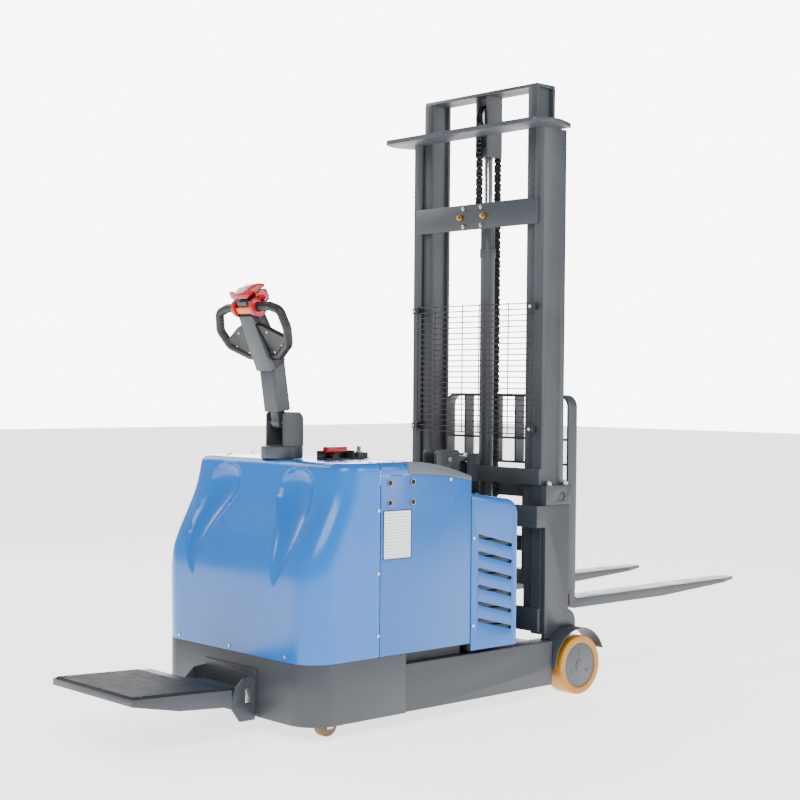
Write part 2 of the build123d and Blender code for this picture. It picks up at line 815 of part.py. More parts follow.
with BuildPart() as lift_rocker:
    with BuildSketch(side(rocker_half)):
        with BuildLine():
            Polyline(
                head_xz(238.6, 5.5), head_xz(238.6, 13), head_xz(255.4, 13), head_xz(255.4, 5.5),
                head_xz(247, 2.5), close=True,
            )
        make_face()
    extrude(amount=2 * rocker_half)
save(lift_rocker, "lift_rocker")

with BuildPart() as horn_button:
    with BuildSketch(head_plane.offset(horn_off)):
        with Locations((-head_half + 1, horn_s)):
            Rectangle(10, horn_size)
    extrude(amount=horn_size)
save(horn_button, "horn_button")

# ---------------------------------------------------------------- emergency plug and key on the cover's top
plug_x = axle_x - 982
plug_y = -150.0
key_x = axle_x - 871
base_plate = 4.0
plug_travel = 8.0
collar_top = cover_top + 15
with BuildPart() as control_bracket:
    slab(plug_x - 58, key_x + 23, plug_y - 31, plug_y + 31, cover_top, cover_top + base_plate)
    slab(plug_x - 58, plug_x + 66, plug_y + 26, plug_y + 31, cover_top, cover_top + 30)
    slab(plug_x + 61, plug_x + 66, plug_y - 28, plug_y + 31, cover_top, cover_top + 30)
    rod_z(plug_x, plug_y, cover_top, collar_top, 17)
    rod_z(plug_x, plug_y, cover_top + base_plate, collar_top, 9 + 0.4, Mode.SUBTRACT)
    # key switch housing beside it
    slab(key_x - 23, key_x + 23, plug_y - 22, plug_y + 22, cover_top, cover_top + 22)
    rod_z(key_x, plug_y, cover_top + 6, cover_top + 22, 11.4, Mode.SUBTRACT)
save(control_bracket, "control_bracket")

with BuildPart() as emergency_plug:
    low = collar_top + plug_travel + 1
    slab(plug_x - 43, plug_x + 43, plug_y - 15, plug_y + 15, low, cover_top + 44)
    fillet(emergency_plug.edges().filter_by(Axis.X), 5)
    rod_z(plug_x, plug_y, cover_top + base_plate + plug_travel + 0.5, low + 2, 9)
save(emergency_plug, "emergency_plug")

with BuildPart() as ignition_key:
    rod_z(key_x, plug_y, cover_top + 7, cover_top + 26, 11)
    slab(key_x - 3, key_x + 3, plug_y - 9, plug_y + 9, cover_top + 26, cover_top + 44)
save(ignition_key, "ignition_key")

# ---------------------------------------------------------------- stabiliser casters
caster_wheel_x = caster_x - caster_trail
for name, sign in (("caster_fork_left", 1), ("caster_fork_right", -1)):
    with BuildPart() as caster_fork:
        y = sign * caster_y
        rod_z(caster_x, y, caster_wheel_r * 2 + 4, base_z - free_gap, 34)
        rod_z(caster_x, y, base_z - free_gap, base_z + base_t + 12, caster_pin_r)
        slab(caster_wheel_x - 12, caster_x, y - 34, y + 34, caster_wheel_r * 2 + 4, base_z - free_gap)
        for s in (-1, 1):
            y0, y1 = sorted((y + s * (caster_wheel_w / 2 + 2), y + s * (caster_wheel_w / 2 + 8)))
            slab(caster_wheel_x - 12, caster_wheel_x + 14, y0, y1, caster_wheel_r - 12, caster_wheel_r * 2 + 4)
        rod_y(caster_wheel_x, caster_wheel_r, y - caster_wheel_w / 2 - 8, y + caster_wheel_w / 2 + 8, 6)
    save(caster_fork, name)
for name, sign in (("caster_wheel_left", 1), ("caster_wheel_right", -1)):
    with BuildPart() as caster_wheel:
        y = sign * caster_y
        rod_y(caster_wheel_x, caster_wheel_r, y - caster_wheel_w / 2, y + caster_wheel_w / 2, caster_wheel_r)
        fillet(caster_wheel.edges().filter_by(GeomType.CIRCLE), 5)
        rod_y(caster_wheel_x, caster_wheel_r, y - 20, y + 20, 6 + running, Mode.SUBTRACT)
    save(caster_wheel, name)

# ---------------------------------------------------------------- front wheels
tyre_in_r = 85.0
for name, sign in (("left", 1), ("right", -1)):
    y0, y1 = sorted((sign * front_wheel_face_y, sign * (front_wheel_face_y - front_wheel_w)))
    with BuildPart() as front_tyre:
        rod_y(axle_x, front_wheel_r, y0, y1, front_wheel_r)
        fillet(front_tyre.edges().filter_by(GeomType.CIRCLE), 6)
        rod_y(axle_x, front_wheel_r, y0 - 1, y1 + 1, tyre_in_r, Mode.SUBTRACT)
    save(front_tyre, "front_tyre_" + name)
    with BuildPart() as front_hub:
        h0, h1 = sorted((sign * (front_wheel_face_y - 3), sign * (front_wheel_face_y - front_wheel_w + 2)))
        rod_y(axle_x, front_wheel_r, h0, h1, tyre_in_r)
        a0, a1 = sorted((sign * (front_wheel_face_y - 14), sign * (front_wheel_face_y - front_wheel_w)))
        rod_y(axle_x, front_wheel_r, a0, a1, front_axle_r + running, Mode.SUBTRACT)
    save(front_hub, "front_hub_" + name)

# ---------------------------------------------------------------- folding step
step_t = math.radians(step_rise)
deck_half = 240.0
deck_start = 134.0
plate_thick = 5.0


def step_xz(along, up):
    """A point of the step's side view: along it from the pivot, and square to it."""
    return (
        step_x - along * math.cos(step_t) + up * math.sin(step_t),
        step_pivot_z + along * math.sin(step_t) + up * math.cos(step_t),
    )


top = step_over - 4
with BuildPart() as step_deck:
    # tray with side skirts that deepen towards the hinge
    for sign in (-1, 1):
        y_face = deck_half if sign > 0 else -deck_half + plate_thick
        with BuildSketch(side(y_face)):
            with BuildLine():
                Polyline(
                    step_xz(deck_start, top), step_xz(step_length, top), step_xz(step_length, step_under),
                    step_xz(step_length - 176, -9), step_xz(deck_start, -15), step_xz(deck_start, top),
                )
            make_face()
        extrude(amount=plate_thick)
    with BuildSketch(side(deck_half)):
        with BuildLine():
            Polyline(
                step_xz(deck_start, top), step_xz(step_length, top), step_xz(step_length, top - plate_thick),
                step_xz(deck_start, top - plate_thick), step_xz(deck_start, top),
            )
        make_face()
    extrude(amount=2 * deck_half)
    with BuildSketch(side(deck_half)):
        with BuildLine():
            Polyline(
                step_xz(step_length - plate_thick, top), step_xz(step_length, top),
                step_xz(step_length, step_under), step_xz(step_length - plate_thick, step_under),
                step_xz(step_length - plate_thick, top),
            )
        make_face()
    extrude(amount=2 * deck_half)
    # hinge arm between the ears
    arm_half = ear_in - 24
    with BuildSketch(side(arm_half)):
        with BuildLine():
            Polyline(
                step_xz(0, 20), step_xz(deck_start + 60, 30), step_xz(deck_start + 60, 14),
                step_xz(0, -14), step_xz(0, 20),
            )
        make_face()
        with Locations((step_x, step_pivot_z)):
            Circle(20)
            Circle(10 + running, mode=Mode.SUBTRACT)
    extrude(amount=2 * arm_half)
    with BuildSketch(side(arm_half)):
        with BuildLine():
            Polyline(
                step_xz(deck_start, 26), step_xz(deck_start + 60, 29), step_xz(deck_start + 60, top - 2),
                step_xz(deck_start, top - 2), step_xz(deck_start, 26),
            )
        make_face()
    extrude(amount=2 * arm_half)
save(step_deck, "step_deck")

with BuildPart() as step_mat:
    with BuildSketch(side(deck_half - 6)):
        with BuildLine():
            Polyline(
                step_xz(deck_start + 4, top), step_xz(step_length - 4, top), step_xz(step_length - 4, step_over),
                step_xz(deck_start + 4, step_over), step_xz(deck_start + 4, top),
            )
        make_face()
    extrude(amount=2 * (deck_half - 6))
save(step_mat, "step_mat")

# ---------------------------------------------------------------- outer mast
crossbar_z = 1788.0
crossbar_h = 99.0
gland_z = 1840.0
gland_wall = 2.5
gland_r = lift_tube_r + gland_wall
crosshead_t = 17.0
outer_x0 = mast_x
outer_x1 = mast_x + outer_depth
roller_out_y = 291.0
outer_roller_z = 2085.0
lug_y = 20.0
lug_t = 12.0
rod_pin_back = 175.0
rod_pin_r = 8.0
guard_x = mast_x - 26
clamp_y = 303.0

with BuildPart() as outer_mast:
    for sign in (-1, 1):
        w0, w1 = sorted((sign * outer_half, sign * (outer_half - outer_web)))
        f0, f1 = sorted((sign * outer_half, sign * (outer_half - outer_flange)))
        slab(outer_x0, outer_x1, w0, w1, outer_bottom, outer_top)
        slab(outer_x0, outer_x0 + outer_flange_t, f0, f1, outer_bottom, outer_top)
        slab(outer_x1 - outer_flange_t, outer_x1, f0, f1, outer_bottom, outer_top)
        # trunnion pins and the stub of the top roller
        t0, t1 = sorted((sign * (outer_half - 1), sign * (block_out - 3)))
        rod_y(trunnion_x, trunnion_z, t0, t1, trunnion_r)
        r0, r1 = sorted((sign * roller_out_y, sign * (outer_half - 1)))
        rod_y(mast_x + 61, outer_roller_z, r0, r1, 15)
    # crosshead: a U-shaped plate round the back of the inner mast
    with BuildSketch(Plane.XY.offset(outer_top)):
        with BuildLine():
            half = [
                (axle_x - 256, 0), (axle_x - 256, 385), (axle_x - 200, 436), (axle_x - 137, 441),
                (axle_x - 42, 404), (axle_x - 42, 309), (axle_x - 131, 309), (axle_x - 131, 0),
            ]
            l1 = Line(half[0], half[1])
            l2 = Spline([half[1], (axle_x - 236, 418), half[2], half[3]], tangents=((0, 1), (1, -0.05)))
            Polyline(half[3], half[4], half[5], half[6], half[7], half[0])
        make_face()
        mirror(about=Plane.XZ)
    extrude(amount=crosshead_t)
    # bars across the back
    slab(mast_x - 12, mast_x, -331, 331, crossbar_z, crossbar_z + crossbar_h)
    slab(mast_x - 12, mast_x, -outer_half, outer_half, outer_bottom + 10, outer_bottom + 98)
    slab(mast_x - 12, mast_x, -outer_half, outer_half, 800, 860)
    slab(mast_x - 12, mast_x, -150, 150, 100, outer_bottom + 98)
    # shelf under the lift cylinder, and the clamp at its head
    slab(mast_x - 12, lift_x + 34, -60, 60, 100, 116)
    slab(mast_x, lift_x - lift_tube_r + 4, -30, 30, crossbar_z + 8, crossbar_z + crossbar_h - 27)
    rod_z(lift_x, 0, crossbar_z, gland_z, lift_tube_r, Mode.SUBTRACT)
    rod_z(lift_x, 0, gland_z, crossbar_z + crossbar_h, gland_r, Mode.SUBTRACT)
    # anchor of the lift chain
    slab(mast_x, lift_x - sheave_pitch_r + chain_t / 2, -20, 20, chain_rear_anchor_z - 28, chain_rear_anchor_z)
    # lugs for the tilt cylinder's rod, with their pin
    for sign in (-1, 1):
        y0, y1 = sorted((sign * lug_y, sign * (lug_y + lug_t)))
        slab(axle_x - rod_pin_back - 20, mast_x - 12, y0, y1, 800, tilt_pin_z + 20)
        slab(mast_x - 12, mast_x, y0, y1, 860, tilt_pin_z + 20)
    rod_y(axle_x - rod_pin_back, tilt_pin_z, -lug_y - 1, lug_y + 1, rod_pin_r)
save(outer_mast, "outer_mast")

with BuildPart() as lift_cylinder:
    rod_z(lift_x, 0, 116, 1860, lift_tube_r)
    rod_z(lift_x, 0, 1680, 1716, 32)
    rod_z(lift_x, 0, gland_z, 1878, gland_r)
    rod_z(lift_x, 0, 130, 1845, lift_bore_r, Mode.SUBTRACT)
    rod_z(lift_x, 0, gland_z, 1880, lift_rod_r + running, Mode.SUBTRACT)
save(lift_cylinder, "lift_cylinder")

wire_r = 2.0
guard_bottom = 991.0
guard_pitch = 21.6
with BuildPart() as mesh_guard:
    for y in (-clamp_y, -203, -46, 46, 203, clamp_y):
        rod_z(guard_x, y, guard_bottom - 4, guard_bottom + 23 * guard_pitch + 4, wire_r)
    for i in range(24):
        rod_y(guard_x + 3.2, guard_bottom + i * guard_pitch, -clamp_y - 4, clamp_y + 4, wire_r)
    for z in (1010, 1475):
        for sign in (-1, 1):
            slab(guard_x - 5, mast_x - 0.0, sign * 320 - 11, sign * 320 + 11, z - 11, z + 11)
            y0, y1 = sorted((sign * (clamp_y - 3), sign * 322))
            slab(guard_x - 5, guard_x + 6, y0, y1, z - 11, z + 11)
save(mesh_guard, "mesh_guard")

roller_r = 40.0
with BuildPart() as outer_rollers:
    for sign in (-1, 1):
        y0, y1 = sorted((sign * (roller_out_y + 1), sign * (roller_out_y + 15)))
        rod_y(mast_x + 61, outer_roller_z, y0, y1, roller_r)
        rod_y(mast_x + 61, outer_roller_z, y0 - 1, y1 + 1, 15 + running, Mode.SUBTRACT)
save(outer_rollers, "outer_rollers")

# ---------------------------------------------------------------- inner mast
inner_x0 = axle_x - inner_back
inner_x1 = inner_x0 + inner_depth
inner_roller_z = 430.0
big_roller_r = 49.0
bracket_half = 34.0
with BuildPart() as inner_mast:
    for sign in (-1, 1):
        f0, f1 = sorted((sign * inner_half, sign * (inner_half - inner_width)))
        mid = sign * (inner_half - inner_width / 2)
        slab(inner_x0, inner_x1, mid - inner_web / 2, mid + inner_web / 2, inner_bottom, inner_top)
        slab(inner_x0, inner_x0 + inner_flange_t, f0, f1, inner_bottom, inner_top)
        slab(inner_x1 - inner_flange_t, inner_x1, f0, f1, inner_bottom, inner_top)
        s0, s1 = sorted((mid, sign * (outer_half - outer_web - 3)))
        rod_y(axle_x - 74.5, inner_roller_z, s0, s1, 18)
    slab(inner_x0 + 2, inner_x1 - 2, -inner_half, inner_half, inner_top, inner_top + 12)
    slab(inner_x0, inner_x0 + inner_flange_t + 1, -inner_half + 4, inner_half - 4, 260, 328)
    # bracket of the chain sheave
    for sign in (-1, 1):
        y0, y1 = sorted((sign * (bracket_half - 10), sign * bracket_half))
        slab(lift_x - 40, lift_x + 40, y0, y1, sheave_z - 150, inner_top)
    slab(lift_x - 30, lift_x + 30, -bracket_half + 10, bracket_half - 10, sheave_z - 150, sheave_z - 112)
    rod_z(lift_x, 0, sheave_z - 150, sheave_z - 118, lift_rod_r, Mode.SUBTRACT)
    rod_y(lift_x, sheave_z, -bracket_half + 9, bracket_half + 6, 11)
save(inner_mast, "inner_mast")

with BuildPart() as inner_rollers:
    for sign in (-1, 1):
        y0, y1 = sorted((sign * 314, sign * 341))
        rod_y(axle_x - 74.5, inner_roller_z, y0, y1, big_roller_r)
        rod_y(axle_x - 74.5, inner_roller_z, y0 - 1, y1 + 1, 18 + running, Mode.SUBTRACT)
save(inner_rollers, "inner_rollers")

with BuildPart() as lift_rod:
    rod_z(lift_x, 0, 350, sheave_z - 118, lift_rod_r)
    rod_z(lift_x, 0, 330, 372, lift_bore_r - running)
save(lift_rod, "lift_rod")

with BuildPart() as chain_sheave:
    with BuildSketch(across(lift_x)):
        with BuildLine():
            Polyline(
                (-20, sheave_z + 11 + running), (20, sheave_z + 11 + running), (20, sheave_z + 56),
                (chain_w / 2 + 1, sheave_z + 56), (chain_w / 2 + 1, sheave_z + sheave_pitch_r - chain_t / 2 - 0.5),
                (-chain_w / 2 - 1, sheave_z + sheave_pitch_r - chain_t / 2 - 0.5), (-chain_w / 2 - 1, sheave_z + 56),
                (-20, sheave_z + 56), (-20, sheave_z + 11 + running),
            )
        make_face()
    revolve(axis=Axis((lift_x, 0, sheave_z), (0, 1, 0)))
save(chain_sheave, "chain_sheave")

rear_run_x = lift_x - sheave_pitch_r
front_run_x = lift_x + sheave_pitch_r
with BuildPart() as chain_rear_run:
    slab(
        rear_run_x - chain_t / 2, rear_run_x + chain_t / 2,
        -chain_w / 2, chain_w / 2, chain_rear_anchor_z, sheave_z,
    )
save(chain_rear_run, "chain_rear_run")

with BuildPart() as chain_front_run:
    slab(
        front_run_x - chain_t / 2, front_run_x + chain_t / 2,
        -chain_w / 2, chain_w / 2, chain_front_anchor_z, sheave_z,
    )
    # the turn over the sheave
    with BuildSketch(side(chain_w / 2)):
        with BuildLine():
            r0, r1 = sheave_pitch_r - chain_t / 2, sheave_pitch_r + chain_t / 2
            CenterArc((lift_x, sheave_z), r0, 0, 180)
            CenterArc((lift_x, sheave_z), r1, 0, 180)
            Line((lift_x + r0, sheave_z), (lift_x + r1, sheave_z))
            Line((lift_x - r0, sheave_z), (lift_x - r1, sheave_z))
        make_face()
    extrude(amount=chain_w)
save(chain_front_run, "chain_front_run")

# ---------------------------------------------------------------- fork carriage
car_x0 = axle_x - 112
car_x1 = axle_x + carriage_front - bar_t
plate_y = 236.0
car_plate_t = 14.0
car_roller_z = (480.0, 800.0)
car_roller_r = 39.5
notch_pitch = 50.0
hook_lip = 18.0
with BuildPart() as carriage:
    for sign in (-1, 1):
        y0, y1 = sorted((sign * plate_y, sign * (plate_y + car_plate_t)))
        slab(car_x0, car_x1 - 17, y0, y1, 430, 850)
        slab(car_x1 - 17, car_x1, y0, y1, 430, upper_bar_z + upper_bar_h - hook_lip - 2)
        for z in car_roller_z:
            s0, s1 = sorted((sign * (plate_y + 1), sign * 279))
            rod_y(axle_x - 76, z, s0, s1, 15)
    slab(car_x1, car_x1 + bar_t, -bar_half, bar_half, upper_bar_z, upper_bar_z + upper_bar_h)
    slab(car_x1, car_x1 + bar_t, -bar_half, bar_half, lower_bar_z, lower_bar_z + lower_bar_h)
    # notches for the fork latches
    for i in range(-6, 7):
        slab(
            car_x1 + 18, car_x1 + bar_t, i * notch_pitch - 6, i * notch_pitch + 6,
            upper_bar_z + upper_bar_h - 12, upper_bar_z + upper_bar_h, Mode.SUBTRACT,
        )
    # middle bar with the chain anchor, and braces down to the lower bar
    slab(car_x1 - 30, car_x1, -plate_y - 1, plate_y + 1, 520, chain_front_anchor_z)
    slab(front_run_x - 14, car_x1 - 30, -25, 25, 536, chain_front_anchor_z)
    for sign in (-1, 1):
        slab(car_x1 - 1, car_x1 + 14, sign * 120 - 10, sign * 120 + 10, 442, 734)
save(carriage, "carriage")

for name, z in (("carriage_rollers_lower", car_roller_z[0]), ("carriage_rollers_upper", car_roller_z[1])):
    with BuildPart() as carriage_roller:
        for sign in (-1, 1):
            y0, y1 = sorted((sign * 264.5, sign * 278.5))
            rod_y(axle_x - 76, z, y0, y1, car_roller_r)
            rod_y(axle_x - 76, z, y0 - 1, y1 + 1, 15 + running, Mode.SUBTRACT)
    save(carriage_roller, name)

with BuildPart() as load_backrest:
    bx = car_x1 + bar_t - backrest_bar
    with BuildSketch(across(bx)):
        with BuildLine():
            b = backrest_half
            FilletPolyline((-b, lower_bar_z), (-b, backrest_top), (b, backrest_top), (b, lower_bar_z), radius=48)
            Line((b, lower_bar_z), (b - backrest_t, lower_bar_z))
            t = b - backrest_t
            FilletPolyline(
                (t, lower_bar_z), (t, backrest_top - backrest_t), (-t, backrest_top - backrest_t), (-t, lower_bar_z),
                radius=48 - backrest_t,
            )
            Line((-b, lower_bar_z), (-t, lower_bar_z))
        make_face()
    extrude(amount=backrest_bar)
    slab(bx, bx + backrest_bar, -t, t, 962, 970)
    slab(bx, bx + backrest_bar, -t, t, 866, 874)
    for y in (-224, -59, 59, 224):
        slab(bx, bx + backrest_bar, y - 4, y + 4, 870, backrest_top - 4)
save(load_backrest, "load_backrest")

# ---------------------------------------------------------------- forks
hook_gap = 0.6
for name, sign in (("fork_left", 1), ("fork_right", -1)):
    with BuildPart() as fork:
        y_hi = sign * fork_outer if sign > 0 else sign * (fork_outer - fork_w)
        bottom = fork_top_z - fork_t
        shank_top = upper_bar_z + upper_bar_h + 18
        with BuildSketch(side(y_hi)):
            with BuildLine():
                l1 = Polyline((fork_x, bottom + 28), (fork_x, shank_top), (fork_x + fork_shank_t, shank_top))
                l2 = Line(l1 @ 1, (fork_x + fork_shank_t, fork_top_z + 16))
                l3 = RadiusArc(l2 @ 1, (fork_x + fork_shank_t + 16, fork_top_z), -16)
                l4 = Line(l3 @ 1, (fork_x + fork_length - 6, fork_top_z))
                l5 = RadiusArc(l4 @ 1, (fork_x + fork_length - 6, fork_top_z - 12), -6)
                l6 = Polyline(l5 @ 1, (fork_x + 590, bottom), (fork_x + 28, bottom))
                RadiusArc(l6 @ 1, l1 @ 0, 28)
            make_face()
        extrude(amount=fork_w)
        # round the tip in plan
        y_mid = sign * (fork_outer - fork_w / 2)
        with BuildSketch(Plane.XY.offset(bottom - 1)):
            with BuildLine():
                hw = fork_w / 2
                tip = fork_x + fork_length
                FilletPolyline(
                    (fork_x - 60, y_mid - hw), (tip - 110, y_mid - hw), (tip, y_mid - 22), (tip, y_mid + 22),
                    (tip - 110, y_mid + hw), (fork_x - 60, y_mid + hw), radius=20,
                )
                Line((fork_x - 60, y_mid + hw), (fork_x - 60, y_mid - hw))
            make_face()
        extrude(amount=900, mode=Mode.INTERSECT)
        # hooks over the upper bar and under the lower one
        y0, y1 = y_mid - fork_w / 2, y_mid + fork_w / 2
        z_bar = upper_bar_z + upper_bar_h
        slab(car_x1 - 14, fork_x + 1, y0, y1, z_bar + hook_gap, z_bar + 18)
        slab(car_x1 - 14, car_x1 - hook_gap, y0 + 20, y1 - 20, z_bar - hook_lip, z_bar + hook_gap + 1)
        slab(car_x1 + 10, fork_x + 1, y0, y1, lower_bar_z - 20, lower_bar_z - hook_gap)
    save(fork, name)

# ---------------------------------------------------------------- tilt cylinder
tilt_rod_r = 12.0
with BuildPart() as tilt_cylinder:
    tp_x = axle_x - tilt_pin_back
    rod_x(0, tilt_pin_z, tp_x, tp_x + 74, 24)
    rod_y(tp_x, tilt_pin_z, -tower_y + 2, tower_y - 2, 24)
    rod_y(tp_x, tilt_pin_z, -30, 30, tilt_pin_r + running, Mode.SUBTRACT)
    rod_x(0, tilt_pin_z, tp_x + 30, tp_x + 76, tilt_rod_r + running, Mode.SUBTRACT)
save(tilt_cylinder, "tilt_cylinder")

with BuildPart() as tilt_rod:
    rp_x = axle_x - rod_pin_back
    rod_x(0, tilt_pin_z, tp_x + 44, rp_x - 6, tilt_rod_r)
    rod_y(rp_x, tilt_pin_z, -lug_y + 4, lug_y - 4, 19)
    rod_y(rp_x, tilt_pin_z, -20, 20, rod_pin_r + pin_slack, Mode.SUBTRACT)
save(tilt_rod, "tilt_rod")

# ---------------------------------------------------------------- screws, bolts, pins and caps on the chassis
with BuildPart() as fasteners:
    # bolts of the trunnion blocks
    for sign in (-1, 1):
        yb = sign * (plate_in + block_out) / 2
        for back in bolt_backs:
            rod_z(axle_x - back, yb, support_top + block_height, support_top + block_height + 12, 12)
            rod_z(axle_x - back, yb, support_top + 2, support_top + block_height, 7.9)
        # screws of the covers
        for x, z in ((axle_x - 1027, 752), (axle_x - 1027, 540), (axle_x - 1027, 330), (axle_x - 690, 846)):
            y0, y1 = sorted((sign * body_half_w, sign * (body_half_w + 2.5)))
            rod_y(x, z, y0, y1, 6)
        # black caps near the lid
        for x in (axle_x - 978, axle_x - 872):
            for z in (843, 775):
                y0, y1 = sorted((sign * body_half_w, sign * (body_half_w + 4)))
                rod_y(x, z, y0, y1, 11)
        # axle stubs of the front wheels, and the pins of the step
        y0, y1 = sorted((sign * plate_in, sign * (front_wheel_face_y - 16)))
        rod_y(axle_x, front_wheel_r, y0, y1, front_axle_r)
        s0, s1 = sorted((sign * (ear_in - 64), sign * (ear_in + ear_t + 5)))
        rod_y(step_x, step_pivot_z, s0, s1, 10)
    rod_y(axle_x - tilt_pin_back, tilt_pin_z, -tower_y - tower_t - 5, tower_y + tower_t + 5, tilt_pin_r)
    for y in (-299, 7, 308):
        rod_x(y, 273, body_rear_x - 2.0, body_rear_x, 6)
save(fasteners, "fasteners")

print("front axle at x =", round(axle_x, 2))
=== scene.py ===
import bpy
import json
import math
from mathutils import Matrix, Vector


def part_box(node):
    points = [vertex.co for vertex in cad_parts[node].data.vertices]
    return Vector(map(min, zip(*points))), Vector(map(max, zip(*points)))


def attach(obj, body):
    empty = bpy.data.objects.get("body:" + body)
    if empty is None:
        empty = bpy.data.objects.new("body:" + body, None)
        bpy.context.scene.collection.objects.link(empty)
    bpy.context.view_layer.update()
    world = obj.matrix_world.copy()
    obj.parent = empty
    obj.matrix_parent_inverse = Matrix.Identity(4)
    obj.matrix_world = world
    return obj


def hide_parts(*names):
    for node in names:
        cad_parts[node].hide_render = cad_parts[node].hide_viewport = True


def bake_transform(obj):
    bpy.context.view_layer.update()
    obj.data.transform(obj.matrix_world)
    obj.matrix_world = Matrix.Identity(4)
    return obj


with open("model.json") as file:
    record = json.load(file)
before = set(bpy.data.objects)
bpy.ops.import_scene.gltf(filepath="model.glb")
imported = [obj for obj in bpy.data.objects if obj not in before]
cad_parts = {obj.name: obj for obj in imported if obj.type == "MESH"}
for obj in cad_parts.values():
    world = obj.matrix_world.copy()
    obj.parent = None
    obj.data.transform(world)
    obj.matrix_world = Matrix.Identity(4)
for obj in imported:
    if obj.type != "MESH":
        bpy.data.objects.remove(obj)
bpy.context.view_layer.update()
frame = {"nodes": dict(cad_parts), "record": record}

# Studio: a white floor and backdrop, soft lights, and the camera at standing height behind the truck's left
# rear quarter, where the step, the tiller and the mast all show.
axle = sum(corner.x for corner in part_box("front_hub_right")) / 2
yaw, pitch, roll = math.radians(-42.59), math.radians(1.64), math.radians(0.46)
forward = Vector((-math.sin(yaw) * math.cos(pitch), math.cos(yaw) * math.cos(pitch), -math.sin(pitch)))
level = Vector((math.cos(yaw), math.sin(yaw), 0))
upright = level.cross(forward)
right = level * math.cos(roll) + upright * math.sin(roll)
up = upright * math.cos(roll) - level * math.sin(roll)
turn = Matrix((right, up, -forward)).transposed().to_4x4()
bpy.ops.object.camera_add()
camera = bpy.context.object
camera.matrix_world = Matrix.Translation((axle - 4.4548, -4.2635, 1.1756)) @ turn
camera.data.lens = 69.07
camera.data.sensor_width = 36
camera.data.shift_y = 0.0356
bpy.context.scene.camera = camera


def linear(hex_code):
    """An sRGB hex colour as linear red, green, blue and alpha."""
    parts = [int(hex_code[i:i + 2], 16) / 255 for i in (1, 3, 5)]
    return (*[p / 12.92 if p <= 0.04045 else ((p + 0.055) / 1.055) ** 2.4 for p in parts], 1)


def put(tree, kind, inputs=None, **settings):
    """One shader node with its settings, and its inputs, each a value or another node's output."""
    node = tree.nodes.new(kind)
    for key, value in settings.items():
        setattr(node, key, value)
    for key, value in (inputs or {}).items():
        if isinstance(value, bpy.types.NodeSocket):
            tree.links.new(value, node.inputs[key])
        else:
            node.inputs[key].default_value = value
    return node


def blank(name):
    """An empty node material with its output, ready for a shader."""
    material = bpy.data.materials.new(name)
    material.use_nodes = True
    material.node_tree.nodes.clear()
    return material, material.node_tree


world = bpy.data.worlds.new("studio")
world.use_nodes = True
# a fixed patch of sky, behind the truck as the camera is placed, is lit more brightly than the rest
toward = put(world.node_tree, "ShaderNodeTexCoord").outputs["Generated"]
facing = put(world.node_tree, "ShaderNodeVectorMath", {0: toward, 1: forward}, operation="DOT_PRODUCT")
lit = put(
    world.node_tree, "ShaderNodeMapRange",
    {"Value": facing.outputs["Value"], "From Min": 0.88, "From Max": 0.93, "To Min": 0.55, "To Max": 8.0},
)
sky = world.node_tree.nodes["Background"]
sky.inputs["Color"].default_value = linear("#ffffff")
world.node_tree.links.new(lit.outputs[0], sky.inputs["Strength"])
bpy.context.scene.world = world

floor_white, tree = blank("floor_white")
shader = put(
    tree, "ShaderNodeBsdfPrincipled",
    {"Base Color": linear("#ffffff"), "Roughness": 0.9, "Emission Color": linear("#ffffff"),
     "Emission Strength": 2.0},
)
put(tree, "ShaderNodeOutputMaterial", {"Surface": shader.outputs[0]})
bpy.ops.mesh.primitive_plane_add(size=60)
floor = bpy.context.object
floor.name = "floor"
floor.data.materials.append(floor_white)

for name, spot, aim, size, watts in (
    ("key_light", (axle - 4.5, -3.0, 4.6), (axle - 0.8, 0, 0.8), 3.0, 200),
    ("side_light", (axle + 1.5, -5.0, 2.6), (axle - 0.3, 0, 1.0), 2.5, 110),
    ("back_light", (axle - 1.0, 4.5, 4.0), (axle - 0.4, 0, 1.2), 3.0, 120),
):
    bpy.ops.object.light_add(type="AREA", location=spot)
    lamp = bpy.context.object
    lamp.name = name
    lamp.data.size = size
    lamp.data.energy = watts
    lamp.rotation_euler = (Vector(aim) - Vector(spot)).to_track_quat("-Z", "Y").to_euler()


# Steelwork: the chassis, the legs with their mudguards, the mast's side plates and the trunnion blocks are
# welded or bolted mild steel under a charcoal powder coat, whose cut edges round the coat off.
def coated(name, shade, light, patch_mm, peel_mm, depth_mm, rough, metallic=0.0, **sockets):
    """A coated or moulded surface: patches between two close shades, a fine peel and an uneven gloss."""
    material, tree = blank(name)
    place = put(tree, "ShaderNodeTexCoord").outputs["Object"]
    patches = put(tree, "ShaderNodeTexNoise", {"Vector": place, "Scale": 1000 / patch_mm, "Detail": 4.0})
    colour = put(
        tree, "ShaderNodeMix", {0: patches.outputs["Fac"], 6: linear(shade), 7: linear(light)}, data_type="RGBA"
    )
    gloss = put(
        tree, "ShaderNodeMapRange",
        {"Value": patches.outputs["Fac"], "From Min": 0.3, "From Max": 0.7, "To Min": rough - 0.05,
         "To Max": rough + 0.07},
    )
    peel = put(tree, "ShaderNodeTexNoise", {"Vector": place, "Scale": 1000 / peel_mm, "Detail": 2.0})
    bump = put(
        tree, "ShaderNodeBump", {"Height": peel.outputs["Fac"], "Distance": depth_mm / 1000, "Strength": 1.0}
    )
    shader = put(
        tree, "ShaderNodeBsdfPrincipled",
        {"Base Color": colour.outputs[2], "Roughness": gloss.outputs[0], "Normal": bump.outputs[0],
         "Metallic": metallic, **{key.replace("_", " "): value for key, value in sockets.items()}},
    )
    put(tree, "ShaderNodeOutputMaterial", {"Surface": shader.outputs[0]})
    return material


# powder coat's orange peel is about 2 mm across; it is drawn at 5 mm so that it shows
charcoal_coat = coated("charcoal_powder_coat", "#33373c", "#3c4147", 140, 5, 0.12, 0.42)


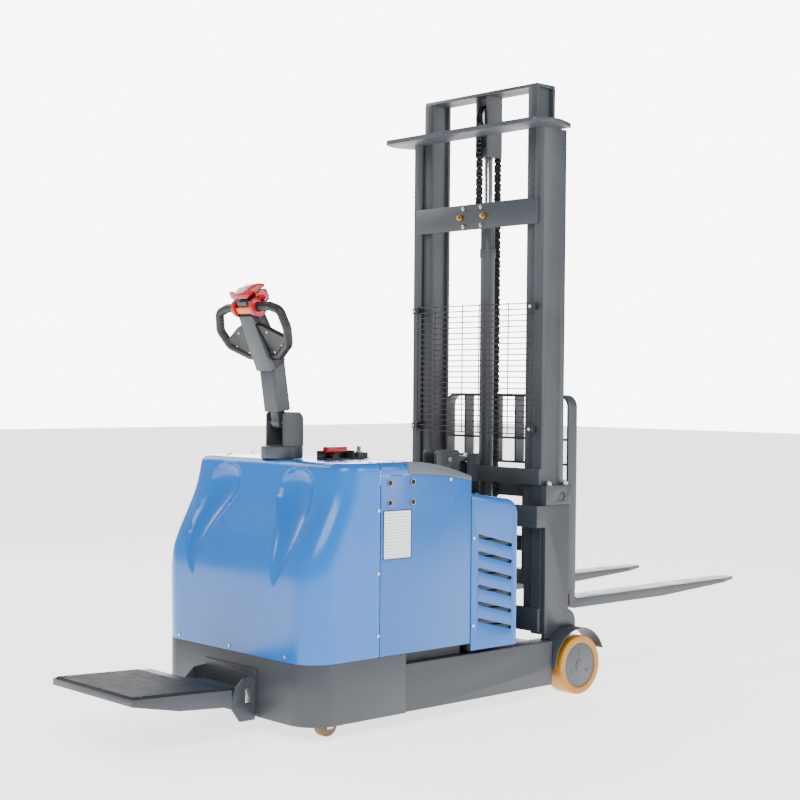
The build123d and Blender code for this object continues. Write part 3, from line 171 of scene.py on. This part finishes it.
def alone(piece):
    """Only this piece is selected, and it is the active one."""
    bpy.ops.object.select_all(action="DESELECT")
    piece.select_set(True)
    bpy.context.view_layer.objects.active = piece


def settled(piece, body, material, smooth=35):
    """The piece's place goes into its mesh, and it gets its shading, finish and body."""
    alone(piece)
    bpy.ops.object.transform_apply(location=True, rotation=True, scale=True)
    bpy.ops.object.shade_smooth_by_angle(angle=math.radians(smooth))
    if material:
        piece.data.materials.clear()
        piece.data.materials.append(material)
    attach(piece, body)
    return piece


def edged(piece, width, segments=2, angle=32):
    """Every sharp edge rounded to this width, in metres."""
    alone(piece)
    bevel = piece.modifiers.new("edges", "BEVEL")
    bevel.width = width
    bevel.segments = segments
    bevel.limit_method = "ANGLE"
    bevel.angle_limit = math.radians(angle)
    bevel.use_clamp_overlap = True
    bpy.ops.object.modifier_apply(modifier=bevel.name)
    return piece


bodies = {n: body for body, nodes in frame["record"]["behaviour"]["bodies"].items() for n in nodes}


def softened(node, material, width=0.0015):
    """A copy of a CAD piece with its loose triangles merged and its edges rounded, which stands for it."""
    source = frame["nodes"][node]
    piece = bpy.data.objects.new(node + "_coated", source.data.copy())
    bpy.context.collection.objects.link(piece)
    alone(piece)
    bpy.ops.object.mode_set(mode="EDIT")
    bpy.ops.mesh.select_all(action="SELECT")
    bpy.ops.mesh.remove_doubles(threshold=0.00001)
    bpy.ops.mesh.dissolve_limited(angle_limit=math.radians(0.5))
    bpy.ops.object.mode_set(mode="OBJECT")
    edged(piece, width)
    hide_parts(node)
    return settled(piece, bodies[node], material)


for node in ("chassis_frame", "leg_frame", "mast_supports", "trunnion_blocks", "step_bracket"):
    softened(node, charcoal_coat)

# Rear cover: a glossy blue moulded shell. Its back leans forward in an S, its corners are wide, and two
# scoops taper down each side of a central tongue. Small zinc screws hold it at the seam and the side edge.
blue_gloss = coated(
    "blue_gloss_shell", "#0064b8", "#006cc0", 300, 9, 0.08, 0.24, Coat_Weight=0.2, Coat_Roughness=0.12
)
low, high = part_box("rear_cover")
back_x, split_x, half_w, seam_z, top_z = low.x, high.x, high.y, low.z, high.z
top_round = 0.026


def swell(value, width):
    """Zero below nought and the value above it, with a smooth bend of this width between."""
    return width * math.log1p(math.exp(value / width))


def back_lean(z):
    """How far the back has come forward at height z."""
    return 0.55 * swell(z - 0.582, 0.030) - 0.36 * swell(z - 0.800, 0.026)


def scoop_depth(y, z):
    """How deep the scoops are pressed in at this place of the back."""
    rise = min(max((z - 0.505) / 0.36, 0), 1)
    middle = 0.230 + 0.030 * math.sin(math.pi * min(rise * 1.25, 1)) - 0.030 * rise
    half = 0.006 + 0.086 * min(1, rise * 1.30) ** 0.8
    reach = ((abs(y) - middle) / half) ** 2 + (max(0, z - 0.815) / 0.078) ** 2
    return 0.034 * min(1, rise * 1.6) ** 0.8 * max(0, 1 - reach) ** 0.62


side_steps, corner_steps, back_steps = 14, 14, 128
wall_rows, bend_rows, roof_rows = 96, 6, 5
columns = 2 * side_steps + 2 * corner_steps + back_steps
rows = wall_rows + bend_rows + roof_rows
bpy.ops.mesh.primitive_grid_add(x_subdivisions=columns, y_subdivisions=rows, size=1)
cover = bpy.context.object
cover.name = "rear_cover_shell"
for vertex in cover.data.vertices:
    column = round((vertex.co.x + 0.5) * columns)
    row = round((vertex.co.y + 0.5) * rows)
    wall_top = top_z - top_round
    if row <= wall_rows:
        z, inward = seam_z + (wall_top - seam_z) * row / wall_rows, 0
    else:
        bend = math.radians(90) * min(1, (row - wall_rows) / bend_rows)
        z, inward = wall_top + top_round * math.sin(bend), top_round * (1 - math.cos(bend))
    edge_x = back_x + back_lean(z) + inward
    edge_y = half_w - inward
    corner_r = 0.110 - 0.025 * (z - seam_z) / (top_z - seam_z) - inward
    mirror_column = min(column, columns - column)
    flip = -1 if column <= columns / 2 else 1
    if mirror_column <= side_steps:
        share = mirror_column / side_steps
        x, y = split_x + (edge_x + corner_r - split_x) * share, edge_y
    elif mirror_column <= side_steps + corner_steps:
        swing = math.radians(90) * (mirror_column - side_steps) / corner_steps
        x = edge_x + corner_r - corner_r * math.sin(swing)
        y = edge_y - corner_r + corner_r * math.cos(swing)
    else:
        share = (mirror_column - side_steps - corner_steps) / (back_steps / 2)
        x, y = edge_x, (edge_y - corner_r) * (1 - share)
        x += scoop_depth(y, z) if row <= wall_rows else 0
    if mirror_column == 0:
        y -= 0.0025
    if row > wall_rows + bend_rows:
        share = (row - wall_rows - bend_rows) / roof_rows
        x, y = x + (split_x - x) * share, y * (1 - share)
    vertex.co = (x, y * flip, z)
alone(cover)
bpy.ops.object.mode_set(mode="EDIT")
bpy.ops.mesh.select_all(action="SELECT")
bpy.ops.mesh.remove_doubles(threshold=0.0002)
bpy.ops.mesh.normals_make_consistent(inside=False)
bpy.ops.object.mode_set(mode="OBJECT")
thickness = cover.modifiers.new("wall", "SOLIDIFY")
thickness.thickness = 0.003
thickness.offset = -1
bpy.ops.object.modifier_apply(modifier=thickness.name)
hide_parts("rear_cover")
settled(cover, "truck", blue_gloss, 40)

# Sheet-metal covers: the panel across the top, the side doors, the louvred front covers and the curved lid
# are folded 3 mm steel, the doors in the same blue coat and the lid in grey.
blue_coat = coated(
    "blue_powder_coat", "#005aa8", "#0062b0", 260, 7, 0.10, 0.30, Coat_Weight=0.25, Coat_Roughness=0.2
)
lid_coat = coated("grey_lid_coat", "#4b5258", "#565e66", 160, 5, 0.10, 0.40)
for node, width in (
    ("top_panel", 0.0015), ("side_panel_left", 0.0015), ("side_panel_right", 0.0015),
    ("vent_cover_left", 0.001), ("vent_cover_right", 0.001),
):
    softened(node, blue_coat, width)
softened("battery_lid", lid_coat)

# Behind each louvred cover a row of black blades is painted shade: they stand for the dark hollow seen through
# the louvre slots.
black_plastic = coated("black_moulded_plastic", "#141516", "#1c1d1f", 60, 2.5, 0.15, 0.48)


def block(name, lowest, highest):
    """A box between two corners, its place in its mesh."""
    middle = (Vector(lowest) + Vector(highest)) / 2
    size = Vector(highest) - Vector(lowest)
    bpy.ops.mesh.primitive_cube_add(size=1, location=middle, scale=size)
    piece = bpy.context.object
    piece.name = name
    bpy.ops.object.transform_apply(location=True, rotation=True, scale=True)
    return piece


def joined(name, pieces):
    """Several meshes made into one piece."""
    bpy.ops.object.select_all(action="DESELECT")
    for piece in pieces:
        piece.select_set(True)
    bpy.context.view_layer.objects.active = pieces[0]
    if len(pieces) > 1:
        bpy.ops.object.join()
    pieces[0].name = name
    return pieces[0]


for hand, sign in (("left", 1), ("right", -1)):
    low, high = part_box("vent_cover_" + hand)
    face = high.y if sign > 0 else -low.y
    blades = []
    for i in range(14):
        z = low.z + 0.055 + i * 0.031
        near, far = sorted((sign * (face - 0.0060), sign * (face - 0.0160)))
        blade = block("blade", (low.x + 0.012, near, z), (high.x - 0.030, far, z + 0.026))
        blades.append(edged(blade, 0.003, 2))
    # painted shade: these black blades darken the louvre slots the way the shaded hollow behind them would
    shade_slats = joined("vent_painted_shade_" + hand, blades)
    settled(shade_slats, "truck", black_plastic)


# Fixings of the body: pan-head zinc screws in the covers, black plastic caps near the lid, the clamping bolts
# of the trunnion blocks, and the bright heads of the step's hinge pins.
zinc = coated("zinc_plated_steel", "#b9bab8", "#cfd0cc", 30, 2, 0.05, 0.30, metallic=1.0)
brass = coated("yellow_brass", "#c08a3e", "#d6a559", 30, 2, 0.05, 0.28, metallic=1.0)


def disc(name, centre, axis, radius, depth, sides=24, round_edge=0.0012):
    """A short round or hexagonal head standing on centre along its axis, with a rounded rim."""
    centre, axis = Vector(centre), Vector(axis).normalized()
    bpy.ops.mesh.primitive_cylinder_add(
        vertices=sides, radius=radius, depth=depth, location=centre + axis * depth / 2,
        rotation=axis.to_track_quat("Z", "Y").to_euler(),
    )
    piece = bpy.context.object
    piece.name = name
    bpy.ops.object.transform_apply(location=True, rotation=True, scale=True)
    return edged(piece, min(round_edge, depth * 0.45), 2, 50)


cover_screw_r = 0.0065
screws = []
for sign in (-1, 1):
    out = Vector((0, sign, 0))
    for back, z in ((1.027, 0.752), (1.027, 0.540), (1.027, 0.330), (0.690, 0.846)):
        screws.append(disc("screw", (axle - back, sign * half_w, z), out, cover_screw_r, 0.0032, 20, 0.0014))
    for back, z in ((0.574, 0.632), (0.574, 0.319)):
        spot = (axle - back, sign * (half_w + 0.002), z)
        screws.append(disc("screw", spot, out, cover_screw_r, 0.0032, 20, 0.0014))
for y in (-0.299, 0.007, 0.308):
    screws.append(disc("screw", (back_x, y, 0.273), (-1, 0, 0), cover_screw_r, 0.0032, 20, 0.0014))
for back, beside in ((1.110, 0.310), (1.035, 0.395), (0.930, 0.395)):
    for sign in (-1, 1):
        spot = (axle - back, sign * beside, top_z)
        screws.append(disc("screw", spot, (0, 0, 1), cover_screw_r, 0.0028, 20, 0.0014))
settled(joined("cover_screws", screws), "truck", zinc)

caps = [
    disc("cap", (axle - back, sign * half_w, z), (0, sign, 0), 0.0115, 0.004, 28, 0.002)
    for sign in (-1, 1) for back in (0.978, 0.872) for z in (0.843, 0.775)
]
settled(joined("panel_caps", caps), "truck", black_plastic)

bolts, washers = [], []
for sign in (-1, 1):
    low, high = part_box("trunnion_blocks")
    y = sign * (high.y - 0.014)
    for back in (0.112, 0.020):
        washers.append(disc("washer", (axle - back, y, high.z), (0, 0, 1), 0.014, 0.003, 28, 0.0008))
        bolts.append(disc("bolt", (axle - back, y, high.z + 0.003), (0, 0, 1), 0.0115, 0.009, 6, 0.001))
        bolts.append(disc("stud", (axle - back, y, high.z + 0.011), (0, 0, 1), 0.006, 0.006, 20, 0.001))
settled(joined("trunnion_bolts", bolts), "truck", zinc)
settled(joined("trunnion_washers", washers), "truck", brass)

step_pins = []
for sign in (-1, 1):
    centre = Vector((axle - 1.357, sign * 0.148, 0.130))
    step_pins.append(disc("pin_head", centre, (0, sign, 0), 0.012, 0.006, 28, 0.002))
    lock = block(
        "keeper", (centre.x - 0.011, min(sign * 0.148, sign * 0.1505), 0.104),
        (centre.x + 0.011, max(sign * 0.148, sign * 0.1505), 0.152),
    )
    step_pins.append(edged(lock, 0.001, 2))
settled(joined("step_pin_heads", step_pins), "truck", zinc)
frame["nodes"]["fasteners"].data.materials.clear()
frame["nodes"]["fasteners"].data.materials.append(zinc)

# Data plate: a blank white foil in a thin black frame, riveted to the right side door.
plate_foil, tree = blank("printed_foil")
place = put(tree, "ShaderNodeTexCoord").outputs["Object"]
height = put(tree, "ShaderNodeSeparateXYZ", {"Vector": place}).outputs["Z"]
ruling = put(tree, "ShaderNodeMath", {0: height, 1: 95.0}, operation="MULTIPLY")
line = put(tree, "ShaderNodeMath", {0: ruling.outputs[0], 1: 1.0}, operation="FLOORED_MODULO")
dark = put(tree, "ShaderNodeMath", {0: line.outputs[0], 1: 0.16}, operation="LESS_THAN")
ink = put(
    tree, "ShaderNodeMix", {0: dark.outputs[0], 6: linear("#e9ebec"), 7: linear("#a3a8ad")}, data_type="RGBA"
)
shader = put(tree, "ShaderNodeBsdfPrincipled", {"Base Color": ink.outputs[2], "Roughness": 0.35})
put(tree, "ShaderNodeOutputMaterial", {"Surface": shader.outputs[0]})
foil = block(
    "data_plate", (axle - 1.003, -half_w - 0.0012, 0.586), (axle - 0.880, -half_w, 0.747)
)
settled(edged(foil, 0.0005, 1), "truck", plate_foil)
rim_face = -half_w - 0.0018
border = [
    block("rim", (axle - 1.006, rim_face, z), (axle - 0.877, -half_w, z + 0.003))
    for z in (0.583, 0.747)
] + [
    block("rim", (x, rim_face, 0.583), (x + 0.003, -half_w, 0.750))
    for x in (axle - 1.006, axle - 0.880)
]
settled(joined("data_plate_rim", border), "truck", black_plastic)

# Controls on the cover: a black bracket, the red emergency plug on its stem, and the steel key beside it.
red_gloss = coated("red_moulded_plastic", "#a00414", "#b00a1a", 50, 2.5, 0.08, 0.28, Coat_Weight=0.3)
bright_steel = coated("ground_steel", "#8f9193", "#a8aaac", 40, 1.5, 0.03, 0.26, metallic=1.0)
softened("control_bracket", black_plastic, 0.0004)
softened("emergency_plug", red_gloss, 0.003)
softened("ignition_key", bright_steel, 0.001)

# Inside the body: battery and counterweight, pump, controller and the drive, under plain coats. They show
# only through gaps and from below. The drive wheel is polyurethane on a cast hub.
inner_coat = coated("inner_dull_coat", "#2b2d2f", "#38393b", 120, 4, 0.15, 0.60)
casting = coated("sand_casting", "#4a4d50", "#5a5d60", 60, 3, 0.50, 0.62)
amber_tyre = coated("cast_polyurethane", "#a8700e", "#b87e18", 90, 4, 0.10, 0.38, Subsurface_Weight=0.08)
dusty_tyre = coated("worn_polyurethane", "#6b4e34", "#7c5c3e", 60, 3, 0.25, 0.55)
for node, material in (
    ("battery_pack", inner_coat), ("hydraulic_unit", casting), ("motor_controller", inner_coat),
    ("drive_gearbox", casting), ("traction_motor", casting), ("steering_column", bright_steel),
    ("drive_wheel", dusty_tyre),
):
    softened(node, material)

# Tiller: a charcoal column whose head is moulded. The two grip loops and their webs are black, the lower
# cover is grey, the safety cap and the wing throttles are red, and an orange strip crosses the face.
softened("tiller_base", charcoal_coat, 0.002)
softened("tiller_tube", charcoal_coat, 0.003)
grey_mould = coated("grey_moulded_plastic", "#3e4245", "#4a4e51", 60, 2.5, 0.12, 0.46)
orange_mould = coated("orange_moulded_plastic", "#e06a1c", "#ec7a2c", 40, 2.5, 0.06, 0.36)
loop_mould = coated("grip_moulded_plastic", "#121315", "#191a1c", 50, 2.0, 0.18, 0.44)
softened("handle_loop", loop_mould, 0.003)
softened("head_cover", grey_mould, 0.003)
softened("belly_button", red_gloss, 0.007)
softened("throttle_levers", red_gloss, 0.002)
softened("lift_rocker", grey_mould, 0.001)
softened("horn_button", black_plastic, 0.001)
lean = math.radians(32.3)
head_turn = Matrix(
    ((0, -math.sin(lean), math.cos(lean)), (1, 0, 0), (0, math.cos(lean), math.sin(lean)))
).to_4x4()
head_place = Matrix.Translation((axle - 1.150, 0, 1.235)) @ head_turn


def on_head(piece, body, material):
    """A piece drawn flat, across, up and off the head, is laid onto the head's slope."""
    piece.data.transform(head_place)
    return settled(piece, body, material)


strip = edged(block("orange_strip", (-0.0370, 0.214, -0.0035), (0.0370, 0.236, 0.0145)), 0.0025)
on_head(strip, "tiller", orange_mould)
screws = [
    disc("web_screw", (side * across, along, -0.0080), (0, 0, -1), 0.0042, 0.0012, 12, 0.0004)
    for side in (-1, 1) for across, along in ((0.072, 0.062), (0.128, 0.088), (0.080, 0.142))
]
on_head(joined("web_screws", screws), "tiller", zinc)
pads = [
    edged(block("grip_pad", (min(side * 0.0385, side * 0.0400), 0.218, 0.050),
                (max(side * 0.0385, side * 0.0400), 0.250, 0.092)), 0.0006)
    for side in (-1, 1)
]
on_head(joined("head_side_pads", pads), "tiller", grey_mould)

# The tilt spring in the tiller's base: a bright coil wound round the gas strut's barrel, with the strut in it.
gas_low, gas_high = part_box("gas_spring")
frame["nodes"]["gas_spring"].data.materials.clear()
frame["nodes"]["gas_spring"].data.materials.append(inner_coat)
coil_turns, coil_steps = 6, 20
coil_x = (gas_low.x + gas_high.x) / 2
coil_r = (gas_high.x - gas_low.x) / 2 + 0.0022
path = bpy.data.curves.new("coil_path", "CURVE")
path.dimensions = "3D"
path.bevel_depth = 0.0014
path.bevel_resolution = 2
winding = path.splines.new("POLY")
winding.points.add(coil_turns * coil_steps)
for step, point in enumerate(winding.points):
    swing = math.tau * step / coil_steps
    rise = gas_low.z + 0.003 + 0.038 * step / (coil_turns * coil_steps)
    point.co = (coil_x + coil_r * math.cos(swing), coil_r * math.sin(swing), rise, 1)
coil = bpy.data.objects.new("tilt_coil", path)
bpy.context.collection.objects.link(coil)
alone(coil)
bpy.ops.object.convert(target="MESH")
settled(bpy.context.object, "drive_unit", zinc)

# Wheels: load wheels of amber polyurethane on dark hubs with three screws, and swivelling casters behind,
# their forks zinc plated.
hub_ring_r = 0.050
hub_coat = coated("hub_dark_coat", "#494d51", "#55595d", 60, 3, 0.15, 0.42)
for side, name in ((1, "left"), (-1, "right")):
    softened("front_tyre_" + name, amber_tyre, 0.002)
    softened("front_hub_" + name, hub_coat, 0.002)
    middle = sum(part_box("front_hub_" + name), Vector()) / 2
    outer = max(abs(corner.y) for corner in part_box("front_hub_" + name))
    spots = [
        (middle.x + hub_ring_r * math.cos(swing), side * outer, middle.z + hub_ring_r * math.sin(swing))
        for swing in (math.radians(a) for a in (90, 210, 330))
    ]
    screws = [disc("hub_screw", spot, (0, side, 0), 0.0065, 0.0022, 6, 0.0006) for spot in spots]
    cap_spot = (middle.x, side * outer, middle.z)
    screws.append(disc("hub_cap", cap_spot, (0, side, 0), 0.022, 0.0022, 32, 0.0008))
    settled(joined("hub_screws_" + name, screws), "wheel_" + name, hub_coat)
    softened("caster_fork_" + name, zinc)
    softened("caster_wheel_" + name, dusty_tyre, 0.002)

# Folding step: a bent charcoal tray whose black mat is a field of slanting ribs with a plain strip at the
# hinge end. Each rib is a bar cut off square at the mat's edges.
softened("step_deck", charcoal_coat, 0.002)
softened("step_mat", black_plastic, 0.0012)
rubber = coated("ribbed_rubber", "#1c1e20", "#26282b", 40, 2.0, 0.20, 0.60)
step_rise = math.radians(2.5)
mat_low, mat_high, mat_half = 0.190, 0.506, 0.228
rib_pitch = 0.0150
ribs = []
for line in range(-18, 42):
    along = mat_low + line * rib_pitch
    bpy.ops.mesh.primitive_cube_add(size=1, location=(along, 0, 0.0005), scale=(0.0070, 0.70, 0.0060))
    ribs.append(bpy.context.object)
    ribs[-1].rotation_euler.z = math.radians(34)
    bpy.ops.object.transform_apply(location=False, rotation=True, scale=True)
ribs = joined("step_mat_ribs", ribs)
alone(ribs)
bpy.ops.object.transform_apply(location=True, rotation=True, scale=True)
for spot, away in (
    ((mat_low, 0, 0), (-1, 0, 0)), ((mat_high, 0, 0), (1, 0, 0)),
    ((0, -mat_half, 0), (0, -1, 0)), ((0, mat_half, 0), (0, 1, 0)),
):
    bpy.ops.object.mode_set(mode="EDIT")
    bpy.ops.mesh.select_all(action="SELECT")
    bpy.ops.mesh.bisect(plane_co=spot, plane_no=away, clear_outer=True, use_fill=True)
    bpy.ops.object.mode_set(mode="OBJECT")
mat_top = 0.045
ribs.data.transform(
    Matrix.Translation((axle - 1.357, 0, 0.130))
    @ Matrix(((-math.cos(step_rise), 0, math.sin(step_rise)), (0, -1, 0),
              (math.sin(step_rise), 0, math.cos(step_rise)))).to_4x4()
    @ Matrix.Translation((0, 0, mat_top - 0.0004))
)
settled(ribs, "step", rubber)

# Outer mast: rolled channels tied by a crosshead and three bars. The cylinder is clamped at the upper bar by
# four bolts and fed through two brass fittings, and a welded wire guard is clipped on with white screws.
softened("outer_mast", charcoal_coat, 0.002)
softened("lift_cylinder", charcoal_coat, 0.002)
softened("outer_rollers", bright_steel)
guard_coat = coated("guard_black_coat", "#1b1c1e", "#242628", 60, 3, 0.10, 0.45)
guard = frame["nodes"]["mesh_guard"]
guard.data.materials.clear()
guard.data.materials.append(guard_coat)
mast_back = axle - 0.149
bolts = [
    disc("bar_bolt", (mast_back, y, z), (-1, 0, 0), 0.0095, 0.007, 6)
    for y in (0.057, -0.040) for z in (1.872, 1.801)
]
settled(joined("cylinder_clamp_bolts", bolts), "outer_mast", zinc)
fittings = [
    disc("fitting", (mast_back - 0.010 * step, y, 1.836), (-1, 0, 0), 0.013 - 0.004 * step, 0.010, 6)
    for y in (0.073, -0.056) for step in (0, 1)
]
settled(joined("hose_fittings", fittings), "outer_mast", brass)
guard_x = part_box("mesh_guard")[0].x
screws = [
    disc("clip", (guard_x + 0.0005, side * 0.320, z), (-1, 0, 0), 0.006, 0.0045, 16)
    for side in (-1, 1) for z in (1.010, 1.475)
]
white_nylon = coated("white_nylon", "#c9cbcc", "#d8dada", 20, 2, 0.03, 0.42)
settled(joined("guard_clip_screws", screws), "outer_mast", white_nylon)

# Inner mast: a second pair of channels that rise inside the first, with the chain sheave in its top bracket
# on the chromed lift rod.
softened("inner_mast", charcoal_coat, 0.002)
hard_chrome = coated("hard_chrome", "#b4b5b7", "#c6c7c9", 60, 2, 0.01, 0.14, metallic=1.0)
softened("lift_rod", hard_chrome, 0.001)
softened("inner_rollers", bright_steel)
softened("chain_sheave", bright_steel)

# Lift chain: a leaf chain anchored on the crossbar, over the sheave and down to the carriage. Each pitch is a
# row of waisted plates on pins; each straight run is stretched once to reach from its lower end up to the
# sheave, and the turn over the sheave rides the inner mast.
chain_steel = coated("oiled_chain_steel", "#2a2b2c", "#47484a", 12, 1.5, 0.05, 0.34, metallic=1.0)
pitch = 0.0191
waist_half = 0.0044
plate_half = 0.0016
outer_row = (-0.0132, -0.0044, 0.0044, 0.0132)
inner_row = (-0.0088, 0.0, 0.0088)
wrap_links = 9


def chain_unit(name):
    """Two pitches of leaf chain standing on the origin: outer plates, then inner plates, and their pins."""
    plates = []
    for step, spots in ((0, outer_row), (1, inner_row)):
        for y in spots:
            for end in (0, 1):
                bpy.ops.mesh.primitive_cylinder_add(
                    vertices=14, radius=0.0064, depth=0.0034, rotation=(math.radians(90), 0, 0),
                    location=(0, y, (step + end) * pitch),
                )
                plates.append(bpy.context.object)
            low_corner = (-waist_half, y - plate_half, step * pitch)
            plates.append(block("waist", low_corner, (waist_half, y + plate_half, (step + 1) * pitch)))
        bpy.ops.mesh.primitive_cylinder_add(
            vertices=10, radius=0.0028, depth=0.0298, rotation=(math.radians(90), 0, 0),
            location=(0, 0, step * pitch),
        )
        plates.append(bpy.context.object)
    unit = joined(name, plates)
    alone(unit)
    bpy.ops.object.transform_apply(location=True, rotation=True, scale=True)
    return unit


def straight_run(name, x, low_z, high_z, node):
    """A run of chain stretched from low_z up to high_z and fixed in place, attached to no body; the CAD node it
    stands for is hidden.
    """
    pairs = round((high_z - low_z) / (2 * pitch))
    run = chain_unit(name)
    copies = run.modifiers.new("links", "ARRAY")
    copies.count = pairs
    copies.use_relative_offset = False
    copies.use_constant_offset = True
    copies.constant_offset_displace = (0, 0, 2 * pitch)
    bpy.ops.object.modifier_apply(modifier=copies.name)
    stretch = (high_z - low_z) / (2 * pitch * pairs + 0.013)
    run.data.transform(Matrix.Translation((x, 0, low_z)) @ Matrix.Diagonal((1, 1, stretch, 1))
                       @ Matrix.Translation((0, 0, 0.0065)))
    bpy.ops.object.shade_smooth_by_angle(angle=math.radians(35))
    run.data.materials.append(chain_steel)
    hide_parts(node)
    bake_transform(run)


sheave = sum(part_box("chain_sheave"), Vector()) / 2
straight_run("chain_links_rear", sheave.x - 0.052, 1.888, sheave.z, "chain_rear_run")
straight_run("chain_links_front", sheave.x + 0.052, 0.580, sheave.z, "chain_front_run")
wrap = []
for step in range(wrap_links):
    swing = math.radians(180) * (step + 0.5) / wrap_links
    spots = outer_row if step % 2 else inner_row
    for y in spots:
        plate = block("plate", (-0.0090, y - plate_half, -0.0058), (0.0090, y + plate_half, 0.0058))
        edged(plate, 0.002)
        plate.data.transform(
            Matrix.Translation((sheave.x + 0.0515 * math.cos(swing), 0, sheave.z + 0.0515 * math.sin(swing)))
            @ Matrix.Rotation(math.radians(90) - swing, 4, "Y")
        )
        wrap.append(plate)
settled(joined("chain_links_turn", wrap), "inner_mast", chain_steel)

# Fork carriage: two hook bars on rollers, a welded load backrest, and two forged forks. The forks slide along
# the bars by hand.
softened("carriage", charcoal_coat, 0.002)
softened("load_backrest", charcoal_coat, 0.002)
softened("carriage_rollers_lower", bright_steel)
softened("carriage_rollers_upper", bright_steel)
fork_coat = coated("fork_dark_coat", "#383b3f", "#43474c", 110, 4, 0.15, 0.40)
for name in ("fork_left", "fork_right"):
    softened(name, fork_coat, 0.003)

# Tilt cylinder: it leans the mast, and its chromed rod pins onto the lugs behind the middle bar.
softened("tilt_cylinder", charcoal_coat, 0.002)
softened("tilt_rod", hard_chrome, 0.001)
